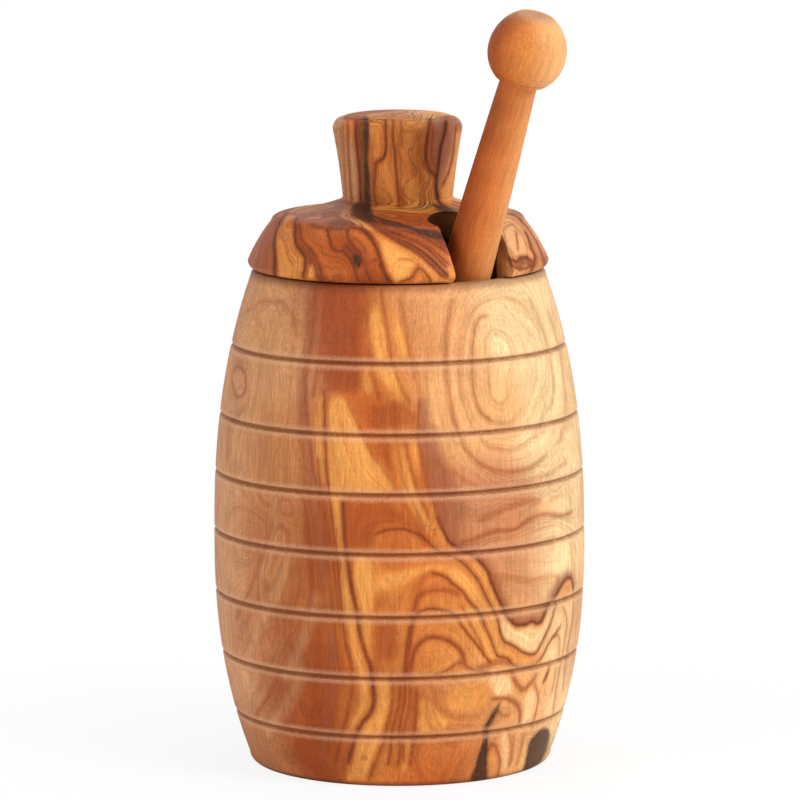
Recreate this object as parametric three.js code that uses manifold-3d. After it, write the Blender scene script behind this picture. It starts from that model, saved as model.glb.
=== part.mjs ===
// Olive wood honey pot: a turned barrel, a lift-off lid and a dipper that stands in the slot.
// Millimetres, +Z up. The origin is the middle of the pot's underside. The slot in the lid
// opens toward +X and -Y, and the dipper leans out of it the same way.
import * as THREE from 'three';
import { mergeVertices } from 'three/addons/utils/BufferGeometryUtils.js';
import Module from 'manifold-3d';

// Pot: outside
const POT_HEIGHT = 107;
const BELLY_RADIUS = 40;
const BELLY_HEIGHT = 47.8;
const FOOT_RADIUS = 31.9;
const MOUTH_RADIUS = 31.3;
const FOOT_EDGE = 2.2;
const MOUTH_EDGE = 1.1;
const LOWER_SWELL = { powerShare: 2.31 };
const UPPER_SWELL = { powerShare: 2.45 };

// Pot: turned grooves, from the foot up
const GROOVE_WIDTH = 1.5;
const GROOVE_DEPTH = 0.8;
const GROOVE_HEIGHT_SHARES = [0.107, 0.229, 0.353, 0.478, 0.596, 0.712, 0.85];

// Pot: hollow
const MOUTH_BORE_RADIUS = 28.5;
const MOUTH_BORE_DEPTH = 8;
const MOUTH_BORE_CHAMFER = 0.4;
const POT_WALL = 5;
const FLOOR_THICKNESS = 7;
const HOLLOW_CORNER_RADIUS = 9;

// Lid: cap
const LIP_RADIUS = 30.7;
const BRIM_RADIUS = 32.3;
const BRIM_HEIGHT = 1.7;
const SHOULDER_RADIUS = 27.2;
const SHOULDER_HEIGHT = 10.2;
const SHOULDER_ROUND = 2.8;
const SHOULDER_RISE = 1.5;
const CAP_HEIGHT = 14.6;
const SIDE_BULGE = 0.35;
const CAP_SAG = 0.4;

// Lid: knob
const KNOB_ROOT_RADIUS = 11.8;
const KNOB_ROOT_FILLET = 0.6;
const KNOB_RADIUS = 13.9;
const KNOB_WIDEST_HEIGHT = 29.9;
const KNOB_EDGE = 2.4;
const LID_HEIGHT = 33.4;
const KNOB_CROWN = 1;

// Lid: spigot and underside hollow
const SPIGOT_DEPTH = 4;
const SPIGOT_CLEARANCE = 0.35;
const SPIGOT_WALL = 4.2;
const SPIGOT_CHAMFER = 0.5;
const LID_HOLLOW_HEIGHT = 7.2;
const LID_HOLLOW_CORNER = 3;

// Lid: slot for the dipper, measured from the lid's own axis
const SLOT_AZIMUTH = THREE.MathUtils.degToRad(35.5);
const SLOT_WIDTH = 15.2;
const SLOT_END = 16.3;

// Dipper
const DIPPER_LENGTH = 165.8;
const DIPPER_LEAN = THREE.MathUtils.degToRad(21.1);
const DIPPER_TURN = THREE.MathUtils.degToRad(8);
const DIPPER_SIDE_STEP = 1.3;
const BALL_RADIUS = 8.25;
const BALL_TOP_RADIUS = 4;
const BALL_TOP_HEIGHT = 8;
const BALL_FOOT_RADIUS = 5.5;
const BALL_LINE_STEP = 1;
const BALL_LINE_WIDTH = 0.5;
const BALL_LINE_DEPTH = 0.25;
const HANDLE_TOP_RADIUS = 3.95;
const HANDLE_RADIUS = 5.7;
const HANDLE_NECK_RADIUS = 4.5;
const HANDLE_PEAK_SHARE = 0.42;
const HEAD_LENGTH = 36;
const HEAD_RADIUS = 10.2;
const HEAD_END_RADIUS = 6.2;
const HEAD_CORE_RADIUS = 5.2;
const HEAD_EDGE = 0.6;
const HEAD_DISCS = 7;
const HEAD_DISC_SHARE = 0.56;
const TIP_CROWN = 1;

// Clearances between the pieces
const SEAT_GAP = 0.3;
const REST_GAP = 0.3;

// Fineness and the overrun of every cut
const POT_SEGMENTS = 52;
const LID_SEGMENTS = 52;
const DIPPER_SEGMENTS = 28;
const ARC_STEPS = 4;
const CURVE_STEPS = 6;
const OVERRUN = 5;

// Finish of the wood, one material for each piece
const WOOD = {
  pot: { color: 0xc98a52, roughness: 0.5, metalness: 0 },
  lid: { color: 0xa9622f, roughness: 0.48, metalness: 0 },
  dipper: { color: 0xcf8d56, roughness: 0.52, metalness: 0 },
};

const UP = new THREE.Vector3(0, 0, 1);
const wasm = await Module();
wasm.setup();

// Outline helpers: every outline is a list of Vector2, radius then height

const point = (radius, height) => new THREE.Vector2(radius, height);

// Points of an elliptical arc about a centre, angles in quarter turns
function arc(centreRadius, centreHeight, across, up, from, to, steps = ARC_STEPS) {
  return Array.from({ length: steps + 1 }, (_, i) => {
    const angle = (from + ((to - from) * i) / steps) * (Math.PI / 2);
    return point(centreRadius + across * Math.cos(angle), centreHeight + up * Math.sin(angle));
  });
}

// Points of a line bowed sideways by a small height, its two ends left out
function bowed(start, end, bow, steps = CURVE_STEPS) {
  const along = new THREE.Vector2().subVectors(end, start);
  const aside = point(along.y, -along.x).normalize();
  return Array.from({ length: steps - 1 }, (_, i) => {
    const share = (i + 1) / steps;
    const rise = bow * 4 * share * (1 - share);
    return start.clone().addScaledVector(along, share).addScaledVector(aside, rise);
  });
}

// A solid of revolution about +Z from an outline that runs from the axis back to the axis
function turned(outline, segments) {
  const geometry = new THREE.LatheGeometry(outline, segments);
  geometry.rotateX(Math.PI / 2);
  geometry.deleteAttribute('normal');
  geometry.deleteAttribute('uv');
  return geometry;
}

// Booleans

function toSolid(geometry) {
  const bare = geometry.clone();
  for (const name of Object.keys(bare.attributes)) {
    if (name !== 'position') bare.deleteAttribute(name);
  }
  const merged = mergeVertices(bare);
  return new wasm.Manifold(new wasm.Mesh({
    numProp: 3,
    vertProperties: new Float32Array(merged.attributes.position.array),
    triVerts: new Uint32Array(merged.index.array),
  }));
}

function toGeometry(solid) {
  const mesh = solid.getMesh();
  const geometry = new THREE.BufferGeometry();
  geometry.setAttribute('position', new THREE.BufferAttribute(mesh.vertProperties, 3));
  geometry.setIndex(new THREE.BufferAttribute(mesh.triVerts, 1));
  return geometry;
}

function woodMesh(name, geometry) {
  geometry.computeVertexNormals();
  const mesh = new THREE.Mesh(geometry, new THREE.MeshStandardMaterial(WOOD[name]));
  mesh.name = name;
  return mesh;
}

// Pot

// Outer radius of the barrel at a height, grooves and edges aside
function barrelRadius(height) {
  const low = height < BELLY_HEIGHT;
  const span = low ? BELLY_HEIGHT : POT_HEIGHT - BELLY_HEIGHT;
  const drop = BELLY_RADIUS - (low ? FOOT_RADIUS : MOUTH_RADIUS);
  const away = Math.abs(height - BELLY_HEIGHT) / span;
  return BELLY_RADIUS - drop * away ** (low ? LOWER_SWELL : UPPER_SWELL).powerShare;
}

// Radius of the hollow at a height, under the mouth bore and above the floor's corner
function hollowRadius(height) {
  const top = POT_HEIGHT - MOUTH_BORE_DEPTH;
  const wide = barrelRadius(height) - POT_WALL;
  const easing = 2 * MOUTH_BORE_DEPTH;
  const blend = THREE.MathUtils.smoothstep(top - height, 0, easing);
  return THREE.MathUtils.lerp(MOUTH_BORE_RADIUS, Math.max(wide, MOUTH_BORE_RADIUS), blend);
}

function grooveOutline(height) {
  const half = GROOVE_WIDTH / 2;
  return [
    point(barrelRadius(height - half), height - half),
    point(barrelRadius(height) - GROOVE_DEPTH, height),
    point(barrelRadius(height + half), height + half),
  ];
}

function barrelOutline() {
  const grooves = GROOVE_HEIGHT_SHARES.map((share) => share * POT_HEIGHT);
  const foot = barrelRadius(FOOT_EDGE);
  const mouth = barrelRadius(POT_HEIGHT - MOUTH_EDGE);
  const outline = arc(foot - FOOT_EDGE, FOOT_EDGE, FOOT_EDGE, FOOT_EDGE, -1, 0);
  const stops = [FOOT_EDGE, ...grooves, POT_HEIGHT - MOUTH_EDGE];
  grooves.forEach((height, i) => {
    const between = (stops[i] + height) / 2;
    outline.push(point(barrelRadius(between), between), ...grooveOutline(height));
  });
  const last = (stops.at(-2) + stops.at(-1)) / 2;
  outline.push(point(barrelRadius(last), last));
  outline.push(...arc(mouth - MOUTH_EDGE, POT_HEIGHT - MOUTH_EDGE, MOUTH_EDGE, MOUTH_EDGE, 0, 1));
  return outline;
}

function hollowOutline() {
  const boreFoot = POT_HEIGHT - MOUTH_BORE_DEPTH;
  const cornerTop = FLOOR_THICKNESS + HOLLOW_CORNER_RADIUS;
  const outline = [
    point(MOUTH_BORE_RADIUS + MOUTH_BORE_CHAMFER, POT_HEIGHT),
    point(MOUTH_BORE_RADIUS, POT_HEIGHT - MOUTH_BORE_CHAMFER),
  ];
  const steps = CURVE_STEPS + 2;
  for (let i = 0; i < steps; i += 1) {
    const height = boreFoot + ((cornerTop - boreFoot) * i) / steps;
    outline.push(point(hollowRadius(height), height));
  }
  const centre = hollowRadius(cornerTop) - HOLLOW_CORNER_RADIUS;
  outline.push(...arc(centre, cornerTop, HOLLOW_CORNER_RADIUS, HOLLOW_CORNER_RADIUS, 0, -1));
  outline.push(point(0, FLOOR_THICKNESS));
  return outline;
}

function makePot() {
  return woodMesh('pot', turned([point(0, 0), ...barrelOutline(), ...hollowOutline()], POT_SEGMENTS));
}

// Lid, drawn with its seat at height zero and then set on the pot's rim

const spigotRadius = MOUTH_BORE_RADIUS - SPIGOT_CLEARANCE;
const lidHollowRadius = spigotRadius - SPIGOT_WALL;

function capOutline() {
  const brim = point(BRIM_RADIUS, BRIM_HEIGHT);
  const shoulder = point(SHOULDER_RADIUS, SHOULDER_HEIGHT);
  const capEdge = point(SHOULDER_RADIUS - SHOULDER_ROUND, SHOULDER_HEIGHT + SHOULDER_RISE);
  const root = point(KNOB_ROOT_RADIUS + KNOB_ROOT_FILLET, CAP_HEIGHT);
  return [
    ...arc(LIP_RADIUS, BRIM_HEIGHT, BRIM_RADIUS - LIP_RADIUS, BRIM_HEIGHT, -1, 0),
    ...bowed(brim, shoulder, SIDE_BULGE),
    ...arc(capEdge.x, shoulder.y, SHOULDER_ROUND, SHOULDER_RISE, 0, 1),
    ...bowed(capEdge, root, -CAP_SAG),
    root,
  ];
}

function knobOutline() {
  const root = point(KNOB_ROOT_RADIUS, CAP_HEIGHT + KNOB_ROOT_FILLET);
  const widest = point(KNOB_RADIUS, KNOB_WIDEST_HEIGHT);
  const crownFoot = LID_HEIGHT - KNOB_CROWN;
  return [
    root,
    ...bowed(root, widest, -KNOB_CROWN / CURVE_STEPS),
    ...arc(KNOB_RADIUS - KNOB_EDGE, widest.y, KNOB_EDGE, crownFoot - widest.y, 0, 1),
    ...arc(0, crownFoot, KNOB_RADIUS - KNOB_EDGE, KNOB_CROWN, 0, 1).slice(1, -1),
    point(0, LID_HEIGHT),
  ];
}

function undersideOutline() {
  const corner = LID_HOLLOW_CORNER;
  return [
    point(0, LID_HOLLOW_HEIGHT),
    ...arc(lidHollowRadius - corner, LID_HOLLOW_HEIGHT - corner, corner, corner, 1, 0),
    point(lidHollowRadius, -SPIGOT_DEPTH),
    point(spigotRadius - SPIGOT_CHAMFER, -SPIGOT_DEPTH),
    point(spigotRadius, SPIGOT_CHAMFER - SPIGOT_DEPTH),
    point(spigotRadius, 0),
  ];
}

// The slot's cutter: straight flanks and a round inner end, run out past the brim
function slotCutter() {
  const half = SLOT_WIDTH / 2;
  const centre = SLOT_END + half;
  const reach = BRIM_RADIUS + OVERRUN;
  const foot = -SPIGOT_DEPTH - OVERRUN;
  const plan = new THREE.Shape();
  plan.moveTo(reach, -half);
  plan.lineTo(reach, half);
  plan.lineTo(centre, half);
  plan.absarc(centre, 0, half, Math.PI / 2, (Math.PI * 3) / 2, false);
  const depth = KNOB_WIDEST_HEIGHT - foot;
  const options = { depth, bevelEnabled: false, curveSegments: 4 * ARC_STEPS };
  const geometry = new THREE.ExtrudeGeometry(plan, options);
  geometry.translate(0, 0, foot);
  geometry.rotateZ(SLOT_AZIMUTH - Math.PI / 2);
  return geometry;
}

function makeLid() {
  const outline = [...undersideOutline(), ...capOutline(), ...knobOutline()];
  const blank = toSolid(turned(outline, LID_SEGMENTS));
  const lid = woodMesh('lid', toGeometry(blank.subtract(toSolid(slotCutter()))));
  lid.position.z = POT_HEIGHT + SEAT_GAP;
  return lid;
}

// Dipper, drawn upright with its tip at height zero

// Radius of the grooved head's discs at a height above the tip
function headRadius(height) {
  const middle = HEAD_LENGTH / 2;
  const away = Math.abs(height - middle) / middle;
  return HEAD_RADIUS - (HEAD_RADIUS - HEAD_END_RADIUS) * away ** 2;
}

function headOutline() {
  const pitch = (HEAD_LENGTH - TIP_CROWN) / (HEAD_DISCS - 1 + HEAD_DISC_SHARE);
  const thick = pitch * HEAD_DISC_SHARE;
  const outline = [];
  for (let i = 0; i < HEAD_DISCS; i += 1) {
    const low = TIP_CROWN + i * pitch;
    const high = low + thick;
    const footRadius = i > 0 ? HEAD_CORE_RADIUS : headRadius(low) - HEAD_EDGE;
    outline.push(point(footRadius, low));
    outline.push(point(headRadius(low), low + HEAD_EDGE));
    outline.push(point(headRadius(high), high - HEAD_EDGE));
    if (i < HEAD_DISCS - 1) outline.push(point(HEAD_CORE_RADIUS, high));
  }
  outline.push(point(headRadius(HEAD_LENGTH) - HEAD_EDGE, HEAD_LENGTH));
  return outline;
}

const ballCentre = DIPPER_LENGTH - BALL_TOP_HEIGHT;
const ballFoot = ballCentre - Math.sqrt(BALL_RADIUS ** 2 - BALL_FOOT_RADIUS ** 2);

// Radius of the handle at a height: thickest at the middle of its length, thinner at both ends
function handleRadius(height) {
  const share = (height - HEAD_LENGTH) / (ballFoot - HEAD_LENGTH);
  const low = share < HANDLE_PEAK_SHARE;
  const span = low ? HANDLE_PEAK_SHARE : 1 - HANDLE_PEAK_SHARE;
  const end = low ? HANDLE_NECK_RADIUS : HANDLE_TOP_RADIUS;
  const away = Math.abs(share - HANDLE_PEAK_SHARE) / span;
  return HANDLE_RADIUS - (HANDLE_RADIUS - end) * away ** 1.5;
}

function handleOutline() {
  const steps = 2 * CURVE_STEPS;
  return Array.from({ length: steps + 1 }, (_, i) => {
    const height = HEAD_LENGTH + ((ballFoot - HEAD_LENGTH) * i) / steps;
    return point(handleRadius(height), height);
  });
}

// The ball, a little drawn up to its flat top, with a flat ring under it and a fine turned line above
// the ring
function ballOutline() {
  const at = (height) => Math.sqrt(BALL_RADIUS ** 2 - (height - ballCentre) ** 2);
  const line = ballFoot + BALL_LINE_STEP;
  const half = BALL_LINE_WIDTH / 2;
  const outline = [
    point(BALL_FOOT_RADIUS, ballFoot),
    point(at(line - half), line - half),
    point(at(line) - BALL_LINE_DEPTH, line),
    point(at(line + half), line + half),
  ];
  const from = Math.asin((line + half - ballCentre) / BALL_RADIUS);
  const to = Math.acos(BALL_TOP_RADIUS / BALL_RADIUS);
  const rise = BALL_TOP_HEIGHT / Math.sin(to);
  const quarter = Math.PI / 2;
  const lower = arc(0, ballCentre, BALL_RADIUS, BALL_RADIUS, from / quarter, 0);
  const upper = arc(0, ballCentre, BALL_RADIUS, rise, 0, to / quarter, CURVE_STEPS);
  return [...outline, ...lower.slice(1), ...upper.slice(1), point(0, DIPPER_LENGTH)];
}

function dipperOutline() {
  return [point(0, 0), ...headOutline(), ...handleOutline(), ...ballOutline()];
}

// Where the dipper stands: its low edge on the floor, its handle against the mouth's edge
function placeDipper(dipper, outline) {
  const cos = Math.cos(DIPPER_LEAN);
  const sin = Math.sin(DIPPER_LEAN);
  const heading = SLOT_AZIMUTH + DIPPER_TURN;
  const lean = new THREE.Vector3(sin * Math.sin(heading), -sin * Math.cos(heading), cos);
  const lowest = Math.min(...outline.map(({ x, y }) => y * cos - x * sin));
  const tipHeight = FLOOR_THICKNESS + REST_GAP - lowest;
  const toRim = (POT_HEIGHT - tipHeight) / cos;
  const reach = MOUTH_BORE_RADIUS - REST_GAP - handleRadius(toRim) / cos;
  const outward = Math.sqrt(reach ** 2 - DIPPER_SIDE_STEP ** 2);
  const rim = new THREE.Vector3(DIPPER_SIDE_STEP, -outward, POT_HEIGHT);
  rim.applyAxisAngle(UP, SLOT_AZIMUTH);
  dipper.quaternion.setFromUnitVectors(UP, lean);
  dipper.position.copy(rim).addScaledVector(lean, -toRim);
}

function makeDipper() {
  const outline = dipperOutline();
  const dipper = woodMesh('dipper', turned(outline, DIPPER_SEGMENTS));
  placeDipper(dipper, outline);
  return dipper;
}

const honeyPot = new THREE.Group();
honeyPot.add(makePot(), makeLid(), makeDipper());

export default honeyPot;
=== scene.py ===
"""Looks of the olive wood honey pot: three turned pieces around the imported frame.

Lengths in this script are millimetres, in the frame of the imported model, and become metres when a
mesh is made. The front of the pot faces -Y.
"""
import math

import bpy
import numpy as np
from mathutils import Matrix, Vector
from mathutils.bvhtree import BVHTree


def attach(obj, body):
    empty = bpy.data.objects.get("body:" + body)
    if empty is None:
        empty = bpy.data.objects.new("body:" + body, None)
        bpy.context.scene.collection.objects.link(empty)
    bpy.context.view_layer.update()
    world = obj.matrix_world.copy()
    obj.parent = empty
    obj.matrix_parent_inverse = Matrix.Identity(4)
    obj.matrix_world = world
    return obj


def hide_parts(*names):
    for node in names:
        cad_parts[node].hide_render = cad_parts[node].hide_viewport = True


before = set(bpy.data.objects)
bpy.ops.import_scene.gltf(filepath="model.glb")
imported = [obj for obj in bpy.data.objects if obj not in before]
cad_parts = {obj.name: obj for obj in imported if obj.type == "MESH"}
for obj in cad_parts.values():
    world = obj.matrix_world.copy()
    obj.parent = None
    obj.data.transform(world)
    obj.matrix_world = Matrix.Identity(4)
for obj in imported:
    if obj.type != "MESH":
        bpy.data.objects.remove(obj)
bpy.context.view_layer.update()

MM = 0.001

# Pot, outside: the values of the part's source
POT_HEIGHT = 107
BELLY_RADIUS, BELLY_HEIGHT = 40, 47.8
FOOT_RADIUS, MOUTH_RADIUS = 31.9, 31.3
FOOT_EDGE, MOUTH_EDGE = 2.2, 1.1
LOWER_POWER, UPPER_POWER = 2.31, 2.45
GROOVE_WIDTH, GROOVE_DEPTH = 1.5, 0.8
GROOVE_SHARES = (0.107, 0.229, 0.353, 0.478, 0.596, 0.712, 0.85)
GROOVE_HEIGHTS = [POT_HEIGHT * share for share in GROOVE_SHARES]
GROOVE_SHAPE = (
    (-1, 0), (-0.8, 0.07), (-0.55, 0.36), (-0.25, 0.8), (0, 1),
    (0.25, 0.8), (0.55, 0.36), (0.8, 0.07), (1, 0),
)
SKIN_DEPTH, GROOVE_FAR = 1.5, 4

# Pot, hollow
BORE_RADIUS, BORE_DEPTH, BORE_CHAMFER = 28.5, 8, 0.4
POT_WALL, FLOOR_THICKNESS, HOLLOW_CORNER = 5, 7, 9

# Lid, heights above its seat
SEAT = 107.3
LIP_RADIUS, BRIM_RADIUS, BRIM_HEIGHT = 30.7, 32.3, 1.7
SHOULDER_RADIUS, SHOULDER_HEIGHT = 27.2, 10.2
SHOULDER_ROUND, SHOULDER_RISE = 2.8, 1.5
CAP_HEIGHT, SIDE_BULGE, CAP_SAG = 14.6, 0.35, 0.4
KNOB_ROOT_RADIUS, KNOB_ROOT_FILLET = 11.8, 0.6
KNOB_RADIUS, KNOB_WIDEST_HEIGHT, KNOB_EDGE = 13.9, 29.9, 2.4
LID_HEIGHT, KNOB_CROWN, KNOB_WAIST = 33.4, 1, 0.17
SPIGOT_RADIUS, SPIGOT_DEPTH, SPIGOT_CHAMFER = 28.15, 4, 0.5
LID_HOLLOW_RADIUS, LID_HOLLOW_HEIGHT, LID_HOLLOW_CORNER = 23.95, 7.2, 3
SLOT_AZIMUTH = math.radians(35.5)
SLOT_TURN = SLOT_AZIMUTH - math.pi / 2
SLOT_WIDTH, SLOT_END = 15.2, 16.3
CUTTER_MARGIN, CUTTER_LOW, CUTTER_HIGH, CUTTER_ARC = 5, -9, 31, 33
# Slot walls: how close to the wall and how squarely facing across a face must be to count, how far
# past the centre of the round end the full darkening runs, and the flanks' share of it; the
# darkening is partly darker end grain, partly painted shade inside the slot
WALL_GIVE, WALL_SQUARE, END_REACH, FLANK_MARK = 0.3, 0.9, 1, 0.3

# Dipper, upright with its tip at height zero
DIPPER_LENGTH = 165.8
DIPPER_LEAN, DIPPER_TURN, DIPPER_SIDE_STEP = math.radians(21.1), math.radians(8), 1.3
REST_GAP = 0.3
BALL_RADIUS, BALL_TOP_RADIUS, BALL_TOP_HEIGHT, BALL_FOOT_RADIUS = 8.25, 4, 8, 5.5
BALL_LINE_STEP, BALL_LINE_WIDTH, BALL_LINE_DEPTH = 1, 0.5, 0.25
HANDLE_TOP_RADIUS, HANDLE_RADIUS, HANDLE_NECK_RADIUS, HANDLE_PEAK = 3.95, 5.7, 4.5, 0.42
HEAD_LENGTH, HEAD_RADIUS, HEAD_END_RADIUS, HEAD_CORE_RADIUS = 36, 10.2, 6.2, 5.2
HEAD_EDGE, HEAD_DISCS, HEAD_DISC_SHARE, TIP_CROWN = 0.6, 7, 0.56, 1

# Fineness of the meshes
POT_SEGMENTS, LID_SEGMENTS, DIPPER_SEGMENTS = 288, 256, 96
SKIN_STEP, HOLLOW_STEP, ARC_STEPS = 1.0, 2.5, 8
SMOOTH_BELOW = math.radians(32)

# Camera: the photograph's place and angle
CAMERA_DISTANCE, CAMERA_HEIGHT = 1210.8, 251.08
CAMERA_PITCH, CAMERA_ROLL = math.radians(8.12), math.radians(0.2534)
CAMERA_FOCAL_PX, CAMERA_CENTRE_PX, PHOTO_PX, SENSOR_WIDTH = 5673.9, 398.785, 800, 36

# A vertex shows when nothing is hit farther than this in front of it
HIT_MARGIN = 0.8

# Light: place in metres, size and watts of each lamp, and the world's strength
LAMPS = (
    ("key_right", (0.9, -0.7, 0.9), 0.7, 14),
    ("fill_left", (-1.0, -0.9, 0.6), 0.8, 6.5),
    ("top", (0.1, 0.2, 1.3), 0.8, 4.8),
)
LAMP_AIM = Vector((0, 0, 0.07))
WORLD_FILL = 0.44

# Floor: half its side in metres, how far it lies under the pot, and its own glow, which is weaker
# near the pot, where the shadow falls, than farther out
FLOOR_REACH, FLOOR_DROP, FLOOR_COLOUR = 6, 0.05, (0.9, 0.88, 0.86, 1)
SHADOW_GLOW, SHADOW_FADE = 0.88, (0.04, 0.16)


# Outlines: lists of (radius, height)


def arc(centre_r, centre_z, across, up, start, end, steps=ARC_STEPS):
    """Points of an elliptical arc, angles in quarter turns."""
    turns = np.linspace(start, end, steps + 1) * math.pi / 2
    return [(centre_r + across * math.cos(a), centre_z + up * math.sin(a)) for a in turns]


def bowed(start, end, bow, steps=16):
    """Points of a line bowed sideways by a small height, without its two ends."""
    (r0, z0), (r1, z1) = start, end
    length = math.hypot(r1 - r0, z1 - z0)
    aside = ((z1 - z0) / length, -(r1 - r0) / length)
    points = []
    for share in np.linspace(0, 1, steps + 1)[1:-1]:
        rise = bow * 4 * share * (1 - share)
        r, z = r0 + (r1 - r0) * share, z0 + (z1 - z0) * share
        points.append((r + aside[0] * rise, z + aside[1] * rise))
    return points


def barrel_radius(z):
    """Outer radius of the barrel at a height, grooves and edges aside."""
    low = z < BELLY_HEIGHT
    span = BELLY_HEIGHT if low else POT_HEIGHT - BELLY_HEIGHT
    drop = BELLY_RADIUS - (FOOT_RADIUS if low else MOUTH_RADIUS)
    power = LOWER_POWER if low else UPPER_POWER
    return BELLY_RADIUS - drop * (abs(z - BELLY_HEIGHT) / span) ** power


def hollow_radius(z):
    """Radius of the hollow at a height, under the mouth bore."""
    top = POT_HEIGHT - BORE_DEPTH
    t = min(max((top - z) / (2 * BORE_DEPTH), 0), 1)
    blend = t * t * (3 - 2 * t)
    return BORE_RADIUS + (max(barrel_radius(z) - POT_WALL, BORE_RADIUS) - BORE_RADIUS) * blend


def groove_profile(z):
    """A V groove with softened lips and a rounded bottom."""
    rows = [(z + GROOVE_WIDTH / 2 * aside, GROOVE_DEPTH * deep) for aside, deep in GROOVE_SHAPE]
    return [(barrel_radius(height) - depth, height) for height, depth in rows]


def barrel_outline():
    foot, mouth = barrel_radius(FOOT_EDGE), barrel_radius(POT_HEIGHT - MOUTH_EDGE)
    outline = arc(foot - FOOT_EDGE, FOOT_EDGE, FOOT_EDGE, FOOT_EDGE, -1, 0)
    half = GROOVE_WIDTH / 2
    low = FOOT_EDGE
    for groove in GROOVE_HEIGHTS + [None]:
        high = POT_HEIGHT - MOUTH_EDGE if groove is None else groove - half
        steps = max(2, round((high - low) / SKIN_STEP))
        outline += [(barrel_radius(z), z) for z in np.linspace(low, high, steps + 1)[1:-1]]
        if groove is not None:
            outline += groove_profile(groove)
            low = groove + half
    return outline + arc(mouth - MOUTH_EDGE, POT_HEIGHT - MOUTH_EDGE, MOUTH_EDGE, MOUTH_EDGE, 0, 1)


def hollow_outline():
    bore_foot, corner_top = POT_HEIGHT - BORE_DEPTH, FLOOR_THICKNESS + HOLLOW_CORNER
    outline = [(BORE_RADIUS + BORE_CHAMFER, POT_HEIGHT), (BORE_RADIUS, POT_HEIGHT - BORE_CHAMFER)]
    bore = np.linspace(POT_HEIGHT - BORE_CHAMFER, bore_foot, 5)[1:-1]
    outline += [(BORE_RADIUS, z) for z in bore]
    steps = round((bore_foot - corner_top) / HOLLOW_STEP)
    outline += [(hollow_radius(z), z) for z in np.linspace(bore_foot, corner_top, steps + 1)[:-1]]
    centre = hollow_radius(corner_top) - HOLLOW_CORNER
    outline += arc(centre, corner_top, HOLLOW_CORNER, HOLLOW_CORNER, 0, -1)
    return outline + disc_points(centre, FLOOR_THICKNESS)


def disc_points(radius, z, outward=False):
    """Rings that divide a flat disc, from its edge to the axis or back."""
    rings = [(r, z) for r in np.linspace(radius, 0, max(2, round(radius / HOLLOW_STEP)) + 1)[1:]]
    return rings[::-1] if outward else rings


def pot_outline():
    foot = barrel_radius(FOOT_EDGE) - FOOT_EDGE
    return disc_points(foot, 0, outward=True) + barrel_outline() + hollow_outline()


def cap_outline():
    brim, shoulder = (BRIM_RADIUS, BRIM_HEIGHT), (SHOULDER_RADIUS, SHOULDER_HEIGHT)
    edge = (SHOULDER_RADIUS - SHOULDER_ROUND, SHOULDER_HEIGHT + SHOULDER_RISE)
    root = (KNOB_ROOT_RADIUS + KNOB_ROOT_FILLET, CAP_HEIGHT)
    return (
        arc(LIP_RADIUS, BRIM_HEIGHT, BRIM_RADIUS - LIP_RADIUS, BRIM_HEIGHT, -1, 0)
        + bowed(brim, shoulder, SIDE_BULGE)
        + arc(edge[0], SHOULDER_HEIGHT, SHOULDER_ROUND, SHOULDER_RISE, 0, 1)
        + bowed(edge, root, -CAP_SAG)
        + [root]
    )


def knob_outline():
    root = (KNOB_ROOT_RADIUS, CAP_HEIGHT + KNOB_ROOT_FILLET)
    widest = (KNOB_RADIUS, KNOB_WIDEST_HEIGHT)
    crown_foot = LID_HEIGHT - KNOB_CROWN
    crown = arc(0, crown_foot, KNOB_RADIUS - KNOB_EDGE, KNOB_CROWN, 0, 1, 2 * ARC_STEPS)
    return (
        [root]
        + bowed(root, widest, -KNOB_WAIST)
        + arc(KNOB_RADIUS - KNOB_EDGE, widest[1], KNOB_EDGE, crown_foot - widest[1], 0, 1)
        + crown[1:-1]
        + [(0, LID_HEIGHT)]
    )


def underside_outline():
    corner, wall = LID_HOLLOW_CORNER, LID_HOLLOW_RADIUS
    wall_steps = np.linspace(LID_HOLLOW_HEIGHT - corner, -SPIGOT_DEPTH, 8)[1:]
    return (
        disc_points(wall - corner, LID_HOLLOW_HEIGHT, outward=True)
        + arc(wall - corner, LID_HOLLOW_HEIGHT - corner, corner, corner, 1, 0)
        + [(wall, z) for z in wall_steps]
        + [(SPIGOT_RADIUS - SPIGOT_CHAMFER, -SPIGOT_DEPTH)]
        + [(SPIGOT_RADIUS, SPIGOT_CHAMFER - SPIGOT_DEPTH), (SPIGOT_RADIUS, 0)]
    )


def lid_outline():
    outline = underside_outline() + cap_outline() + knob_outline()
    return [(r, z + SEAT) for r, z in outline]


def head_radius(z):
    middle = HEAD_LENGTH / 2
    return HEAD_RADIUS - (HEAD_RADIUS - HEAD_END_RADIUS) * (abs(z - middle) / middle) ** 2


def head_outline():
    pitch = (HEAD_LENGTH - TIP_CROWN) / (HEAD_DISCS - 1 + HEAD_DISC_SHARE)
    outline = []
    for i in range(HEAD_DISCS):
        low = TIP_CROWN + i * pitch
        high = low + pitch * HEAD_DISC_SHARE
        outline.append((HEAD_CORE_RADIUS if i else head_radius(low) - HEAD_EDGE, low))
        outline += [(head_radius(low), low + HEAD_EDGE), (head_radius(high), high - HEAD_EDGE)]
        last = i == HEAD_DISCS - 1
        outline.append((head_radius(high) - HEAD_EDGE if last else HEAD_CORE_RADIUS, high))
    return outline


BALL_CENTRE = DIPPER_LENGTH - BALL_TOP_HEIGHT
BALL_FOOT = BALL_CENTRE - math.sqrt(BALL_RADIUS**2 - BALL_FOOT_RADIUS**2)


def handle_radius(z):
    share = (z - HEAD_LENGTH) / (BALL_FOOT - HEAD_LENGTH)
    low = share < HANDLE_PEAK
    end = HANDLE_NECK_RADIUS if low else HANDLE_TOP_RADIUS
    away = abs(share - HANDLE_PEAK) / (HANDLE_PEAK if low else 1 - HANDLE_PEAK)
    return HANDLE_RADIUS - (HANDLE_RADIUS - end) * away**1.5


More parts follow.
